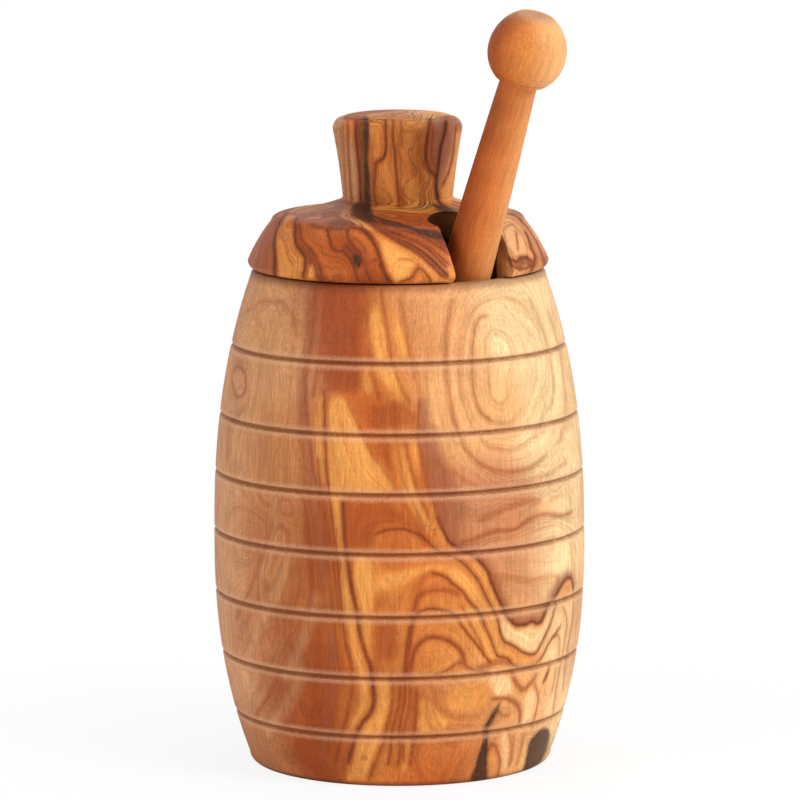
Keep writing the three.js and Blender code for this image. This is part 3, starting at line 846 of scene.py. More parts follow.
# Growth lines of the pot: level, darkness (below zero for a pale line), width in millimetres, shade
# to the line's right (or left, if below zero), then places by pixel
POT_STROKES = {
    "far_left": (-4, 0.0, 0.3, 0, [(236, 330), (226, 400), (221, 480), (219, 530)]),
    "left": (-2.4, 0.0, 0.8, 0, [(275, 290), (266, 360), (258, 430), (254, 490)]),
    "left_arc": (-3, 0.25, 0.7, 0, [(246, 312), (262, 302), (282, 303), (293, 316), (297, 336)]),
    "left_two": (-1, 0.15, 0.9, 0, [(296, 288), (292, 350), (288, 420), (286, 480)]),
    "left_eye": (-4, 0.4, 0.5, 0, [(233, 372), (238, 366), (244, 372), (246, 384), (243, 395),
        (238, 398), (234, 391), (232, 380)]),
    "slant_one": (-1.2, 0.0, 0.8, 0, [(322, 640), (311, 675), (297, 707), (282, 735), (272, 752)]),
    "slant_two": (-2.0, 0.35, 0.9, 0, [(312, 592), (303, 622), (290, 655), (272, 690), (256, 716)]),
    "slant_three": (-2.8, 0.0, 0.8, 0, [(296, 545), (286, 580), (272, 615), (254, 650),
        (240, 676)]),
    "slant_four": (-3.6, 0.3, 0.8, 0, [(279, 500), (268, 540), (254, 580), (236, 618)]),
    "slant_five": (-0.8, 0.3, 0.9, 0, [(320, 702), (308, 730), (294, 756)]),
    "tan_edge": (0, 0.35, 0.8, 0.6, [(317, 288), (314, 320), (312, 345), (308, 372), (306, 392),
        (308, 420), (311, 445), (313, 465), (317, 485), (321, 510), (326, 545), (329, 575),
        (332, 600), (334, 620), (337, 645), (339, 670), (338, 690), (333, 712), (330, 735),
        (326, 760)]),
    "column_edge": (0.3, 0.45, 0.5, 0, [(327, 290), (324, 320), (321, 345), (317, 372),
        (313, 395)]),
    "column_fine": (1, 0.6, 0.4, 0, [(324, 392), (325, 430), (326, 460), (328, 484), (331, 508),
        (334, 532), (337, 556), (339, 580), (341, 603), (343, 625), (346, 645), (351, 662),
        (353, 682), (351, 700), (346, 720), (341, 740), (336, 762)]),
    "column_hair": (0.6, 0.5, 0.35, 0, [(318, 460), (321, 490), (326, 520), (330, 545), (334, 570),
        (337, 600), (340, 625)]),
    "column_dark": (2, 0.7, 0.8, 0, [(343, 502), (344, 525), (346, 548), (349, 570), (352, 590),
        (357, 612), (360, 635), (366, 655), (371, 668), (373, 685), (374, 700), (371, 712),
        (363, 722), (357, 732), (353, 746), (348, 762)]),
    "column_top": (2, 0.0, 0.3, 0, [(350, 290), (352, 320), (354, 350), (353, 380), (350, 395)]),
    "lens_left": (3, 0.3, 0.7, 0, [(366, 292), (367, 310), (368, 330), (370, 352), (372, 372),
        (376, 388), (380, 400)]),
    "wedge_edge": (3, 0.3, 0.6, 0, [(347, 402), (352, 412), (358, 425), (365, 440), (372, 455),
        (380, 465), (388, 477), (396, 488), (402, 498), (410, 514), (418, 528), (426, 540)]),
    "lens_right": (4, 0.35, 0.8, 0, [(381, 292), (384, 312), (388, 335), (391, 356), (397, 374),
        (404, 392), (409, 402)]),
    "strip_edge": (4, 0.35, 0.6, 0, [(394, 404), (396, 425), (397, 446), (400, 465), (405, 485),
        (413, 503), (424, 527)]),
    "strip_right": (4.4, 0.4, 0.6, 0, [(405, 440), (409, 460), (414, 480), (421, 500), (430, 520)]),
    "plum_top": (5, 0.3, 0.7, 0, [(400, 300), (404, 320), (408, 345), (412, 362), (416, 380),
        (419, 394)]),
    "plum_edge": (5, 0.35, 0.7, -0.8, [(419, 400), (417, 420), (418, 440), (422, 462), (428, 487),
        (436, 512), (441, 526)]),
    "plug_edge": (5, 0.8, 0.7, -1.0, [(438, 518), (444, 532), (450, 543), (462, 550), (474, 556),
        (482, 564), (488, 572), (491, 581), (495, 591), (500, 602), (504, 609), (506, 615),
        (510, 620), (515, 625), (521, 625), (527, 624), (532, 621), (537, 624), (541, 623),
        (545, 613), (548, 605), (553, 600), (557, 594), (561, 586), (567, 578), (571, 578),
        (573, 588)]),
    "valley": (4, 0.75, 0.4, 0, [(376, 534), (388, 530), (402, 529), (413, 532), (423, 537),
        (431, 545), (438, 551), (450, 556), (461, 561), (468, 568), (473, 574), (478, 580),
        (483, 590), (487, 599), (491, 606), (495, 613), (498, 621), (500, 631), (504, 641),
        (512, 645), (518, 649), (527, 654), (534, 655), (538, 650), (543, 640), (549, 627),
        (553, 615), (555, 603)]),
    "arch_outer": (3, 0.75, 0.4, 0, [(434, 573), (441, 575), (448, 579), (453, 584), (463, 592),
        (468, 600), (474, 607), (480, 613), (484, 624), (489, 635), (494, 648), (498, 656),
        (507, 658), (512, 664), (518, 667), (530, 666), (538, 662), (543, 655), (549, 643),
        (554, 636), (559, 628)]),
    "arch_outer_left": (3.2, 0.35, 0.8, 0, [(413, 612), (417, 598), (420, 586), (423, 578),
        (429, 574)]),
    "arch_half": (2.5, 0.45, 0.9, 0, [(413, 614), (417, 600), (422, 594), (430, 591), (440, 590),
        (450, 591), (458, 594)]),
    "arch_second": (2, 0.75, 0.4, 0, [(415, 615), (421, 611), (428, 609), (436, 609), (444, 611),
        (452, 613), (457, 617), (461, 624), (467, 633), (473, 640), (479, 648), (485, 656),
        (490, 662)]),
    "arch_third": (2.4, 0.5, 0.4, 0, [(462, 607), (466, 614), (470, 624), (475, 632), (480, 642),
        (484, 651)]),
    "arch_leg": (3, 0.65, 1.1, 0, [(414, 617), (411, 629), (409, 641), (407, 655), (406, 676)]),
    "arch_inner": (1, 0.6, 0.9, 0, [(411, 668), (413, 656), (416, 648), (421, 642), (427, 638),
        (435, 637), (444, 639), (452, 643), (458, 647), (462, 653), (464, 661)]),
    "arch_core": (0.5, 0.5, 0.6, 0, [(434, 675), (444, 672), (453, 666), (461, 662), (467, 667),
        (476, 671), (488, 672)]),
    "arch_low": (2, 0.4, 1.2, 0, [(480, 668), (490, 664), (500, 661), (508, 663)]),
    "streak_left": (4, 0.5, 0.8, 0, [(392, 678), (393, 695), (391, 712), (387, 727), (384, 740),
        (380, 752), (374, 766), (370, 778)]),
    "streak_one": (3.5, 0.6, 0.5, 0, [(399, 678), (400, 692), (398, 708), (394, 722), (391, 735),
        (391, 748), (388, 764)]),
    "streak_two": (3, 0.6, 0.5, 0, [(404, 680), (405, 697), (402, 714), (399, 732), (400, 748),
        (398, 766)]),
    "streak_three": (2, 0.5, 0.5, 0, [(409, 676), (410, 705), (406, 722), (403, 738), (404, 760)]),
    "streak_four": (1, 0.5, 0.8, 0, [(417, 690), (416, 712), (414, 735), (412, 752), (410, 766)]),
    "ring_outer": (6, 0.3, 0.8, 0, [(452, 300), (447, 330), (446, 365), (450, 400), (458, 432),
        (470, 455), (488, 468), (508, 472), (530, 468), (546, 455)]),
    "ring_middle": (7, 0.2, 0.8, 0, [(468, 310), (460, 340), (459, 375), (464, 405), (474, 430),
        (490, 446), (508, 450), (524, 445), (538, 430), (546, 405)]),
    "ring_inner": (8, 0.4, 0.45, 0, [(486, 316), (480, 317), (475, 327), (473, 345), (472, 365),
        (473, 385), (476, 400), (481, 413), (490, 420)]),
    "ring_heart": (9, 0.0, 0.4, 0, [(500, 345), (498, 375), (500, 400)]),
    "right_band": (7, 0.2, 0.8, 0, [(530, 300), (541, 325), (549, 352), (553, 385), (551, 410)]),
    "right_edge": (6, 0.2, 0.8, 0, [(548, 310), (557, 340), (563, 375), (566, 410), (560, 440)]),
    "ring_foot": (5.5, 0.25, 0.8, 0, [(452, 470), (470, 483), (492, 488), (520, 484), (548, 474),
        (566, 462)]),
    "right_low": (6, 0.4, 0.7, 0, [(462, 543), (476, 538), (495, 531), (515, 529), (530, 519),
        (545, 514), (560, 516), (572, 512)]),
    "right_fork": (6, 0.3, 0.8, 0, [(480, 520), (498, 512), (520, 503), (540, 500)]),
    "plug_top": (4.5, 0.3, 0.8, 0, [(486, 552), (505, 548), (530, 545), (555, 538)]),
    "side_one": (5, 0.4, 0.5, 0, [(573, 592), (573, 612), (570, 634), (566, 656), (563, 690)]),
    "side_two": (4, 0.4, 0.4, 0, [(563, 606), (567, 620), (565, 640), (561, 660), (556, 690),
        (553, 712)]),
    "side_arch": (3, 0.4, 0.4, 0, [(553, 637), (557, 634), (560, 641), (559, 656)]),
    "side_tick": (3, 0.8, 0.6, 0, [(549, 668), (547, 674), (544, 681)]),
    "side_three": (3, 0.35, 0.4, 0, [(556, 668), (554, 682), (551, 694)]),
    "low_v": (3, 0.45, 1.0, 0, [(511, 672), (516, 682), (522, 690), (529, 685), (536, 676)]),
    "low_v_right": (3, 0.4, 0.6, 0, [(535, 684), (538, 698), (536, 712), (532, 726)]),
    "ring_small": (2, 0.5, 0.7, 0, [(493, 699), (500, 698), (508, 699), (515, 703), (520, 711),
        (519, 724)]),
    "ring_core": (1.6, 0.35, 0.6, 0, [(498, 711), (503, 716), (508, 715)]),
    "low_leaf": (2, 0.5, 0.6, 0, [(489, 750), (492, 742), (496, 747), (499, 757), (500, 767),
        (497, 776)]),
    "low_right_one": (3, 0.35, 0.5, 0, [(508, 730), (511, 745), (509, 766)]),
    "low_right_two": (3, 0.35, 0.4, 0, [(514, 734), (513, 748), (511, 762)]),
    "low_right_three": (4, 0.3, 0.6, 0, [(524, 734), (521, 748), (517, 764)]),
    "low_middle_one": (1, 0.25, 0.9, 0, [(432, 686), (438, 706), (456, 718), (478, 716)]),
    "low_middle_two": (0.5, 0.25, 0.9, 0, [(425, 700), (430, 725), (446, 742), (466, 738)]),
    "pale_one": (-1.6, -0.12, 3.4, 0, [(316, 596), (306, 628), (295, 656), (284, 678)]),
    "pale_two": (-1.4, -0.12, 3.6, 0, [(305, 668), (292, 696), (278, 718), (266, 732)]),
    "pale_three": (-2.4, -0.12, 3.2, 0, [(286, 560), (277, 590), (264, 618)]),
    "pale_four": (-3, -0.12, 3.2, 0, [(262, 610), (252, 650), (246, 690)]),
    "pale_five": (-2, -0.1, 2.8, 0, [(276, 498), (272, 540), (262, 575)]),
}

POT_PATCHES = {
    "gold": [
        [(375, 306), (381, 314), (385, 328), (387, 345), (388, 358), (377, 359), (370, 345),
         (368, 330), (370, 316)],
        [(367, 366), (381, 367), (396, 369), (403, 380), (407, 392), (405, 401), (398, 397),
         (388, 388), (378, 377)],
        [(364, 371), (369, 373), (372, 383), (373, 393), (367, 393), (364, 383)],
        [(393, 312), (399, 320), (404, 333), (408, 348), (409, 357), (401, 357), (397, 343),
         (394, 328)],
        [(317, 398), (322, 396), (323, 430), (324, 460), (325, 484), (321, 486), (318, 465),
         (316, 435)],
        [(334, 396), (346, 400), (353, 413), (359, 427), (366, 442), (373, 456), (381, 466),
         (389, 477), (395, 487), (388, 493), (365, 495), (346, 496), (342, 510), (343, 530),
         (343, 550), (339, 556), (336, 540), (333, 515), (329, 490), (327, 460), (327, 430),
         (329, 408)],
        [(397, 446), (403, 446), (406, 458), (409, 471), (414, 485), (419, 497), (427, 514),
         (432, 530), (424, 527), (414, 512), (405, 498), (400, 480), (397, 462)],
        [(411, 441), (415, 441), (418, 456), (420, 470), (417, 475), (413, 460)],
        [(428, 499), (433, 502), (440, 518), (447, 534), (450, 545), (442, 540), (434, 524)],
        [(355, 558), (363, 557), (370, 558), (374, 570), (375, 586), (373, 600), (372, 613),
         (359, 613), (355, 592), (353, 573)],
        [(340, 557), (345, 557), (348, 575), (352, 596), (356, 614), (360, 640), (365, 660),
         (369, 680), (369, 700), (367, 712), (357, 722), (352, 733), (348, 732), (354, 719),
         (360, 707), (360, 690), (356, 668), (351, 648), (347, 628), (344, 610), (341, 588)],
        [(362, 616), (370, 616), (370, 640), (371, 660), (366, 648), (362, 630)],
        [(377, 676), (388, 677), (391, 695), (389, 712), (384, 727), (380, 742), (373, 760),
         (366, 778), (348, 780), (351, 765), (355, 745), (359, 734), (367, 722), (374, 713),
         (377, 700)],
        [(378, 575), (390, 572), (405, 570), (420, 567), (436, 564), (450, 566), (461, 570),
         (471, 578), (478, 588), (485, 600), (491, 613), (483, 614), (476, 604), (468, 594),
         (460, 586), (450, 578), (440, 570), (428, 571), (415, 577), (403, 585), (390, 590),
         (378, 588)],
        [(559, 594), (564, 585), (569, 580), (572, 588), (570, 596), (563, 600)],
        [(473, 562), (480, 565), (487, 574), (491, 586), (496, 600), (502, 610), (496, 612),
         (489, 600), (482, 586), (476, 574)],
        [(484, 601), (491, 608), (496, 618), (499, 632), (504, 644), (516, 650), (532, 657),
         (539, 655), (532, 664), (518, 664), (508, 657), (499, 655), (493, 641), (487, 625)],
        [(457, 614), (464, 608), (472, 606), (480, 614), (486, 630), (492, 646), (496, 658),
         (489, 660), (480, 647), (471, 635), (463, 624)],
        [(436, 666), (446, 663), (455, 660), (451, 666), (442, 671), (433, 673)],
        [(446, 701), (453, 690), (466, 684), (482, 684), (491, 691), (487, 703), (474, 710),
         (458, 712), (448, 708)],
        [(419, 700), (430, 703), (440, 712), (450, 722), (440, 731), (424, 733), (417, 728),
         (420, 712)],
        [(404, 742), (410, 741), (408, 770), (402, 770)],
        [(492, 748), (496, 752), (498, 764), (495, 775), (491, 775), (490, 762)],
    ],
    "pale": [
        [(503, 614), (508, 622), (515, 629), (522, 631), (530, 628), (538, 630), (544, 624),
         (550, 612), (555, 601), (556, 610), (552, 624), (546, 638), (538, 651), (532, 653),
         (522, 649), (512, 642), (504, 638), (501, 626)],
        [(561, 600), (569, 603), (571, 612), (568, 632), (563, 655), (556, 672), (556, 650),
         (562, 632), (564, 615)],
        [(548, 640), (555, 638), (558, 646), (556, 660), (546, 664), (543, 656)],
        [(489, 676), (500, 674), (509, 678), (512, 690), (505, 697), (494, 693)],
        [(527, 694), (535, 690), (536, 704), (530, 722), (524, 728), (522, 714)],
        [(548, 694), (556, 690), (554, 712), (546, 724), (544, 706)],
        [(502, 736), (507, 734), (508, 750), (505, 768), (500, 770), (502, 752)],
    ],
    "rust": [
        [(306, 300), (312, 300), (312, 340), (306, 390), (308, 440), (314, 485), (323, 545),
         (331, 605), (336, 660), (337, 700), (328, 745), (318, 772), (296, 760), (300, 720),
         (304, 670), (306, 610), (302, 560), (300, 500), (298, 450), (297, 400), (302, 350)],
        [(347, 502), (372, 500), (392, 503), (404, 514), (414, 528), (398, 527), (380, 530),
         (374, 545), (360, 550), (347, 548)],
        [(375, 593), (383, 596), (385, 606), (379, 616), (396, 618), (399, 640), (398, 660),
         (386, 662), (376, 670), (372, 655), (372, 630), (373, 612)],
        [(372, 438), (391, 441), (394, 458), (398, 478), (397, 485), (386, 470), (376, 456)],
        [(322, 284), (364, 284), (364, 340), (360, 390), (345, 392), (324, 388), (320, 340)],
        [(366, 405), (395, 400), (412, 404), (414, 425), (396, 430), (368, 428)],
    ],
    "plum": [
        [(421, 404), (430, 414), (438, 430), (444, 450), (452, 468), (460, 486), (468, 502),
         (466, 518), (462, 532), (458, 542), (446, 524), (437, 503), (430, 487), (423, 462),
         (420, 432)],
        [(484, 572), (492, 580), (500, 596), (508, 610), (520, 614), (538, 616), (542, 618),
         (530, 622), (520, 627), (511, 618), (502, 603), (495, 590)],
        [(548, 592), (556, 580), (566, 572), (570, 576), (560, 586), (552, 600)],
    ],
    "dark": [
        [(500, 701), (498, 711), (493, 721), (488, 732), (488, 748), (487, 764), (486, 781),
         (471, 782), (475, 766), (479, 752), (483, 740), (483, 728), (489, 718), (495, 708)],
        [(541, 729), (547, 728), (550, 732), (549, 741), (546, 752), (541, 762), (531, 769),
         (523, 772), (524, 765), (527, 752), (529, 742), (534, 735)],
        [(362, 756), (365, 756), (366, 759), (363, 760)],
    ],
}

POT_SWATCHES = [
    ("tan", 248, 320), ("tan", 285, 350), ("tan", 235, 440), ("rose", 284, 460), ("tan", 226, 580),
    ("rose", 280, 560), ("tan", 243, 690), ("rose", 262, 640), ("rust", 306, 640),
    ("rust", 300, 720), ("rose", 262, 745), ("rust", 343, 330), ("orange", 392, 330),
    ("orange", 370, 430), ("rust", 318, 560), ("amber", 345, 600), ("orange", 395, 510),
    ("orange", 392, 640), ("amber", 370, 740), ("rust", 326, 740), ("honey", 425, 320),
    ("honey", 470, 400), ("cream", 525, 330), ("cream", 556, 450), ("blush", 500, 515),
    ("cream", 560, 555), ("blush", 522, 580), ("orange", 440, 598), ("amber", 440, 628),
    ("amber", 436, 656), ("gold", 476, 630), ("gold", 520, 658), ("amber", 440, 690),
    ("rust", 424, 696), ("amber", 462, 722), ("orange", 430, 755), ("orange", 464, 756),
    ("honey", 468, 697), ("honey", 505, 684), ("amber", 508, 710), ("honey", 540, 690),
    ("cream", 560, 650), ("cream", 556, 712), ("blush", 577, 635), ("honey", 508, 745),
    ("honey", 528, 730),
]

# Round the back: azimuth in degrees from -Y toward +X, radius, height
POT_ROUND_BACK = [
    ("cream", 100, 37, 85), ("cream", 104, 40, 45), ("honey", 103, 36, 12), ("honey", 132, 36, 88),
    ("gold", 134, 40, 50), ("amber", 130, 36, 14), ("amber", 163, 37, 84), ("amber", 166, 40, 48),
    ("orange", 162, 36, 14), ("amber", 196, 37, 84), ("orange", 198, 40, 48),
    ("amber", 196, 36, 14), ("gold", 228, 37, 84), ("honey", 228, 40, 48), ("tan", 228, 36, 14),
    ("tan", 262, 37, 86), ("tan", 264, 40, 50), ("rose", 262, 36, 14),
]

# The lid's growth lines, patches and tints
LID_STROKES = {
    "left_one": (-4, 0.6, 0.5, 0, [(270, 226), (264, 238), (260, 250), (258, 268)]),
    "left_two": (-5, 0.5, 0.4, 0, [(264, 230), (258, 242), (254, 253), (251, 264)]),
    "left_three": (-4.5, 0.45, 0.4, 0, [(277, 214), (269, 230), (265, 245), (263, 272)]),
    "left_four": (-4.2, 0.4, 0.4, 0, [(280, 213), (272, 230), (268, 246), (267, 273)]),
    "left_band": (-3, 0.9, 0.9, 0, [(287, 212), (281, 221), (276, 232), (274, 244), (275, 258),
        (275, 276)]),
    "vein_one": (-1, 0.95, 0.6, 0, [(297, 217), (295, 226), (295, 238), (297, 246), (301, 252),
        (305, 257), (305, 266), (303, 277)]),
    "vein_one_right": (0, 0.7, 0.5, 0, [(300, 222), (301, 236), (305, 244), (312, 251), (317, 260),
        (320, 269), (324, 280)]),
    "vein_two": (1, 0.85, 0.6, 0, [(327, 230), (330, 240), (332, 248), (337, 251), (343, 251),
        (348, 256), (352, 263), (355, 271), (358, 281)]),
    "vein_two_right": (2, 0.8, 0.6, 0, [(347, 229), (348, 238), (353, 246), (359, 252), (362, 260),
        (365, 268), (371, 281)]),
    "vein_three": (3, 0.95, 0.7, 0, [(350, 228), (358, 228), (365, 232), (371, 239), (376, 247),
        (379, 255), (381, 264), (385, 274), (390, 282)]),
    "vein_link": (2.6, 0.6, 0.6, 0, [(364, 266), (371, 262), (378, 260)]),
    "cap_top": (5.8, 0.0, 0.4, 0, [(368, 208), (380, 211), (391, 213), (397, 217)]),
    "bundle_top": (5.6, 1.15, 0.9, 0, [(370, 215), (385, 220), (398, 223), (409, 227), (416, 230),
        (428, 231.5), (439, 234), (446, 241)]),
    "bundle_one": (5.2, 1.0, 0.35, 0, [(374, 222), (388, 225), (400, 230), (412, 233), (426, 239),
        (438, 246), (446, 252)]),
    "bundle_two": (5, 0.9, 0.35, 0, [(376, 225), (390, 230), (402, 235), (414, 239), (427, 246),
        (440, 256), (447, 263)]),
    "bundle_three": (4.6, 1.15, 0.6, 0, [(352, 214), (362, 219), (374, 225), (387, 233), (400, 240),
        (411, 245), (421, 251), (432, 260), (446, 274)]),
    "bundle_four": (4.3, 0.9, 0.35, 0, [(372, 226), (386, 234.5), (398, 242), (409, 248),
        (419, 254), (430, 264), (442, 276)]),
    "bundle_five": (4.9, 1.0, 0.35, 0, [(384, 228), (396, 234), (408, 239), (420, 244), (432, 253),
        (445, 266)]),
    "shoulder_four": (3.4, 0.0, 0.4, 0, [(326, 209), (340, 206), (352, 209), (360, 216)]),
    "cap_right": (6, 0.0, 0.4, 0, [(404, 216), (416, 222), (428, 227), (440, 231)]),
    "small_arch": (2.6, 0.85, 0.35, 0, [(401, 282), (409, 279), (414, 275), (416, 270), (419, 267),
        (423, 270), (428, 276), (432, 284)]),
    "faint": (3, 0.35, 0.5, 0, [(402, 259), (412, 260), (418, 266)]),
    "shoulder_one": (3, 0.0, 0.4, 0, [(296, 213), (310, 208), (326, 205), (342, 203), (352, 204)]),
    "shoulder_two": (2.5, 0.0, 0.4, 0, [(300, 219), (314, 214), (330, 211), (346, 211)]),
    "shoulder_three": (2.2, 0.0, 0.4, 0, [(318, 220), (332, 217), (344, 219), (356, 225)]),
    "right_vein": (4, 0.9, 0.9, 0, [(526, 233), (530, 243), (531, 249), (535, 255), (534, 263),
        (531, 271)]),
    "right_thin": (3, 0.6, 0.4, 0, [(516, 232), (517, 240), (518, 249)]),
    "right_blob": (3.4, 0.9, 0.6, 0, [(510, 259), (516, 262), (521, 258), (527, 257), (532, 262)]),
    "right_blob_low": (3.2, 0.7, 0.5, 0, [(512, 266), (519, 269), (527, 268), (533, 264)]),
    "right_rim": (5, 0.75, 1.0, 0, [(509, 213), (519, 219), (528, 228), (536, 241), (543, 256),
        (546, 266)]),
    "right_stripe": (4.5, 0.5, 0.5, 0, [(537, 240), (541, 252), (543, 266)]),
    "knob_edge": (-2, 0.45, 0.4, 0, [(343, 124), (344, 150), (346, 200)]),
    "knob_left": (-1, 0.7, 0.4, 0, [(348, 121), (348.5, 150), (350, 175), (351, 202)]),
    "knob_brown": (0, 0.95, 0.6, 0, [(356, 120), (356, 140), (359, 165), (361, 206)]),
    "knob_thin": (2, 0.8, 0.4, 0, [(376, 163), (375, 178), (374, 190), (376, 206)]),
    "knob_hook": (2.5, 0.95, 0.5, 0, [(385.5, 120), (386, 140), (386, 152), (383, 158),
        (376, 163)]),
    "knob_line": (3, 0.8, 0.4, 0, [(393, 120), (393, 140), (395, 155), (396, 170), (397, 180),
        (399, 207)]),
    "knob_line_two": (3.2, 0.5, 0.35, 0, [(401, 121), (402, 145)]),
    "knob_line_three": (3.3, 0.5, 0.5, 0, [(402, 188), (403, 207)]),
    "u_left": (4, 0.95, 0.6, 0, [(430, 119), (428, 135), (426, 148), (426, 160), (429, 169),
        (435, 176)]),
    "u_right": (5, 1.15, 0.8, 0, [(446, 121), (444, 135), (441, 146), (439, 160), (437, 175),
        (436, 189), (438, 198), (442, 205), (450, 210)]),
    "u_inner": (4.5, 0.6, 0.4, 0, [(433, 126), (432, 145), (432, 158), (436, 168)]),
    "knob_right": (6, 0.8, 0.5, 0, [(456, 128), (454, 145), (452, 160), (448, 174), (443, 184)]),
    "top_arc": (2, 0.0, 0.4, 0, [(364, 122), (374, 117), (386, 114.5), (402, 113.5)]),
    "top_second": (2.5, 0.0, 0.4, 0, [(384, 121), (398, 119), (420, 119)]),
    "top_left": (1.5, 0.0, 0.4, 0, [(348, 120), (360, 115), (378, 112)]),
}

LID_PATCHES = {
    "gold": [
        [(308, 269), (311, 266), (314, 269), (314, 275), (311, 279), (308, 276)],
        [(384, 238), (394, 244), (404, 251), (416, 259), (430, 270), (440, 279), (436, 283),
         (430, 275), (420, 265), (413, 268), (410, 277), (398, 282), (392, 276), (386, 262),
         (380, 248)],
        [(455, 132), (460, 134), (456, 165), (454, 198), (444, 202), (443, 188), (450, 175),
         (454, 155)],
    ],
    "rust": [
        [(330, 232), (345, 232), (349, 240), (354, 247), (359, 253), (363, 262), (366, 268),
         (372, 281), (358, 281), (354, 270), (352, 262), (347, 255), (342, 250), (335, 251),
         (331, 245)],
        [(362, 264), (370, 264), (378, 262), (382, 268), (386, 276), (390, 282), (372, 282),
         (366, 275)],
        [(398, 212), (416, 216), (430, 224), (441, 233), (446, 246), (438, 236), (425, 229),
         (410, 224), (400, 220)],
        [(412, 130), (425, 128), (424, 150), (423, 165), (427, 182), (418, 188), (412, 170)],
    ],
    "plum": [
        [(430, 124), (444, 126), (457, 130), (454, 150), (451, 165), (444, 182), (437, 180),
         (430, 172), (427, 160), (428, 145)],
        [(292, 214), (304, 206), (320, 202), (340, 200), (352, 203), (352, 216), (356, 226),
         (340, 226), (318, 223), (304, 220), (296, 220)],
        [(512, 214), (522, 219), (532, 232), (540, 247), (546, 262), (541, 262), (532, 246),
         (522, 230)],
        [(250, 262), (256, 244), (266, 226), (276, 213), (288, 211), (279, 226), (275, 244),
         (275, 274), (252, 270)],
        [(335, 128), (340, 122), (346, 124), (345, 160), (346, 196), (343, 198), (339, 160)],
    ],
    "brown": [
        [(289, 211), (284, 219), (279, 228), (276, 240), (277, 256), (277, 276), (272, 275),
         (271, 258), (271, 242), (274, 228), (280, 217)],
        [(295, 219), (300, 221), (300, 236), (303, 243), (309, 248), (314, 253), (317, 260),
         (320, 268), (324, 280), (317, 280), (314, 270), (311, 265), (309, 267), (307, 277),
         (303, 277), (303, 270), (305, 262), (304, 257), (299, 252), (296, 246), (294, 236),
         (294, 226)],
        [(308, 221), (314, 223), (326, 225), (344, 226), (354, 227), (346, 231), (330, 231),
         (316, 229), (310, 226)],
        [(344, 242), (350, 245), (357, 251), (362, 258), (362, 266), (356, 268), (352, 261),
         (347, 254), (342, 249)],
        [(378, 250), (382, 258), (384, 266), (388, 274), (393, 283), (385, 283), (382, 275),
         (379, 266), (377, 257)],
        [(349, 209), (355, 204), (368, 203), (372, 210), (373, 217), (385, 219), (398, 222),
         (409, 225), (416, 229), (428, 230), (438, 232), (444, 238), (447, 250), (436, 243),
         (424, 238), (411, 233), (400, 230), (390, 228), (392, 231), (402, 237), (412, 242),
         (421, 249), (432, 258), (446, 271), (447, 279), (440, 275), (428, 264), (418, 256),
         (408, 250), (398, 243), (386, 235), (374, 227), (362, 221), (352, 218)],
        [(326, 221), (340, 219), (352, 222), (362, 227), (372, 233), (376, 240), (368, 236),
         (356, 230), (340, 228), (328, 226)],
        [(355, 120), (363, 120), (363, 150), (364, 180), (367, 207), (360, 207), (359, 180),
         (357, 160), (355, 140)],
        [(511, 258), (517, 261), (523, 256), (529, 257), (534, 261), (532, 268), (526, 266),
         (520, 270), (512, 266)],
    ],
    "dark": [
        [(352, 206), (358, 203), (366, 203), (371, 208), (373, 217), (380, 222), (373, 223),
         (362, 219), (354, 214)],
        [(362.5, 118), (369, 118), (368.5, 155), (369.5, 180), (371.5, 208), (366, 208), (364, 180),
         (363, 155)],
        [(380, 219), (398, 223), (412, 227), (428, 231), (440, 234), (446, 241), (438, 239),
         (424, 236), (412, 231), (398, 227), (382, 224)],
        [(352, 254), (358, 254), (361, 260), (360, 267), (355, 266)],
        [(432, 203), (440, 205), (450, 208), (457, 212), (446, 213), (436, 209)],
    ],
}

LID_SWATCHES = [
    ("rose", 257, 250), ("rose", 275, 218), ("orange", 286, 246), ("amber", 290, 268),
    ("orange", 308, 234), ("orange", 318, 246), ("orange", 338, 268), ("orange", 342, 276),
    ("orange", 362, 244), ("rust", 352, 262), ("rust", 372, 276), ("orange", 388, 240),
    ("amber", 402, 258), ("amber", 425, 276), ("smoke", 325, 210), ("tan", 337, 221),
    ("orange", 405, 229), ("rust", 425, 226), ("tan", 516, 240), ("honey", 522, 252),
    ("rose", 542, 262), ("tan", 341, 160), ("tan", 350, 180), ("amber", 376, 130),
    ("amber", 386, 180), ("orange", 418, 155), ("amber", 410, 196), ("smoke", 442, 150),
    ("honey", 458, 165), ("amber", 395, 124), ("rose", 390, 112), ("smoke", 440, 118),
]

LID_ROUND_BACK = [
    ("tan", 75, 30, 112), ("tan", 100, 30, 112), ("amber", 125, 30, 112), ("orange", 150, 30, 112),
    ("orange", 180, 30, 112), ("orange", 210, 30, 112), ("amber", 235, 30, 112),
    ("rose", 262, 30, 112), ("orange", 180, 20, 119), ("amber", 110, 20, 119),
    ("rose", 250, 20, 119), ("honey", 80, 13, 130), ("amber", 130, 13, 130),
    ("orange", 180, 13, 128), ("amber", 230, 13, 130), ("tan", 280, 13, 130),
]
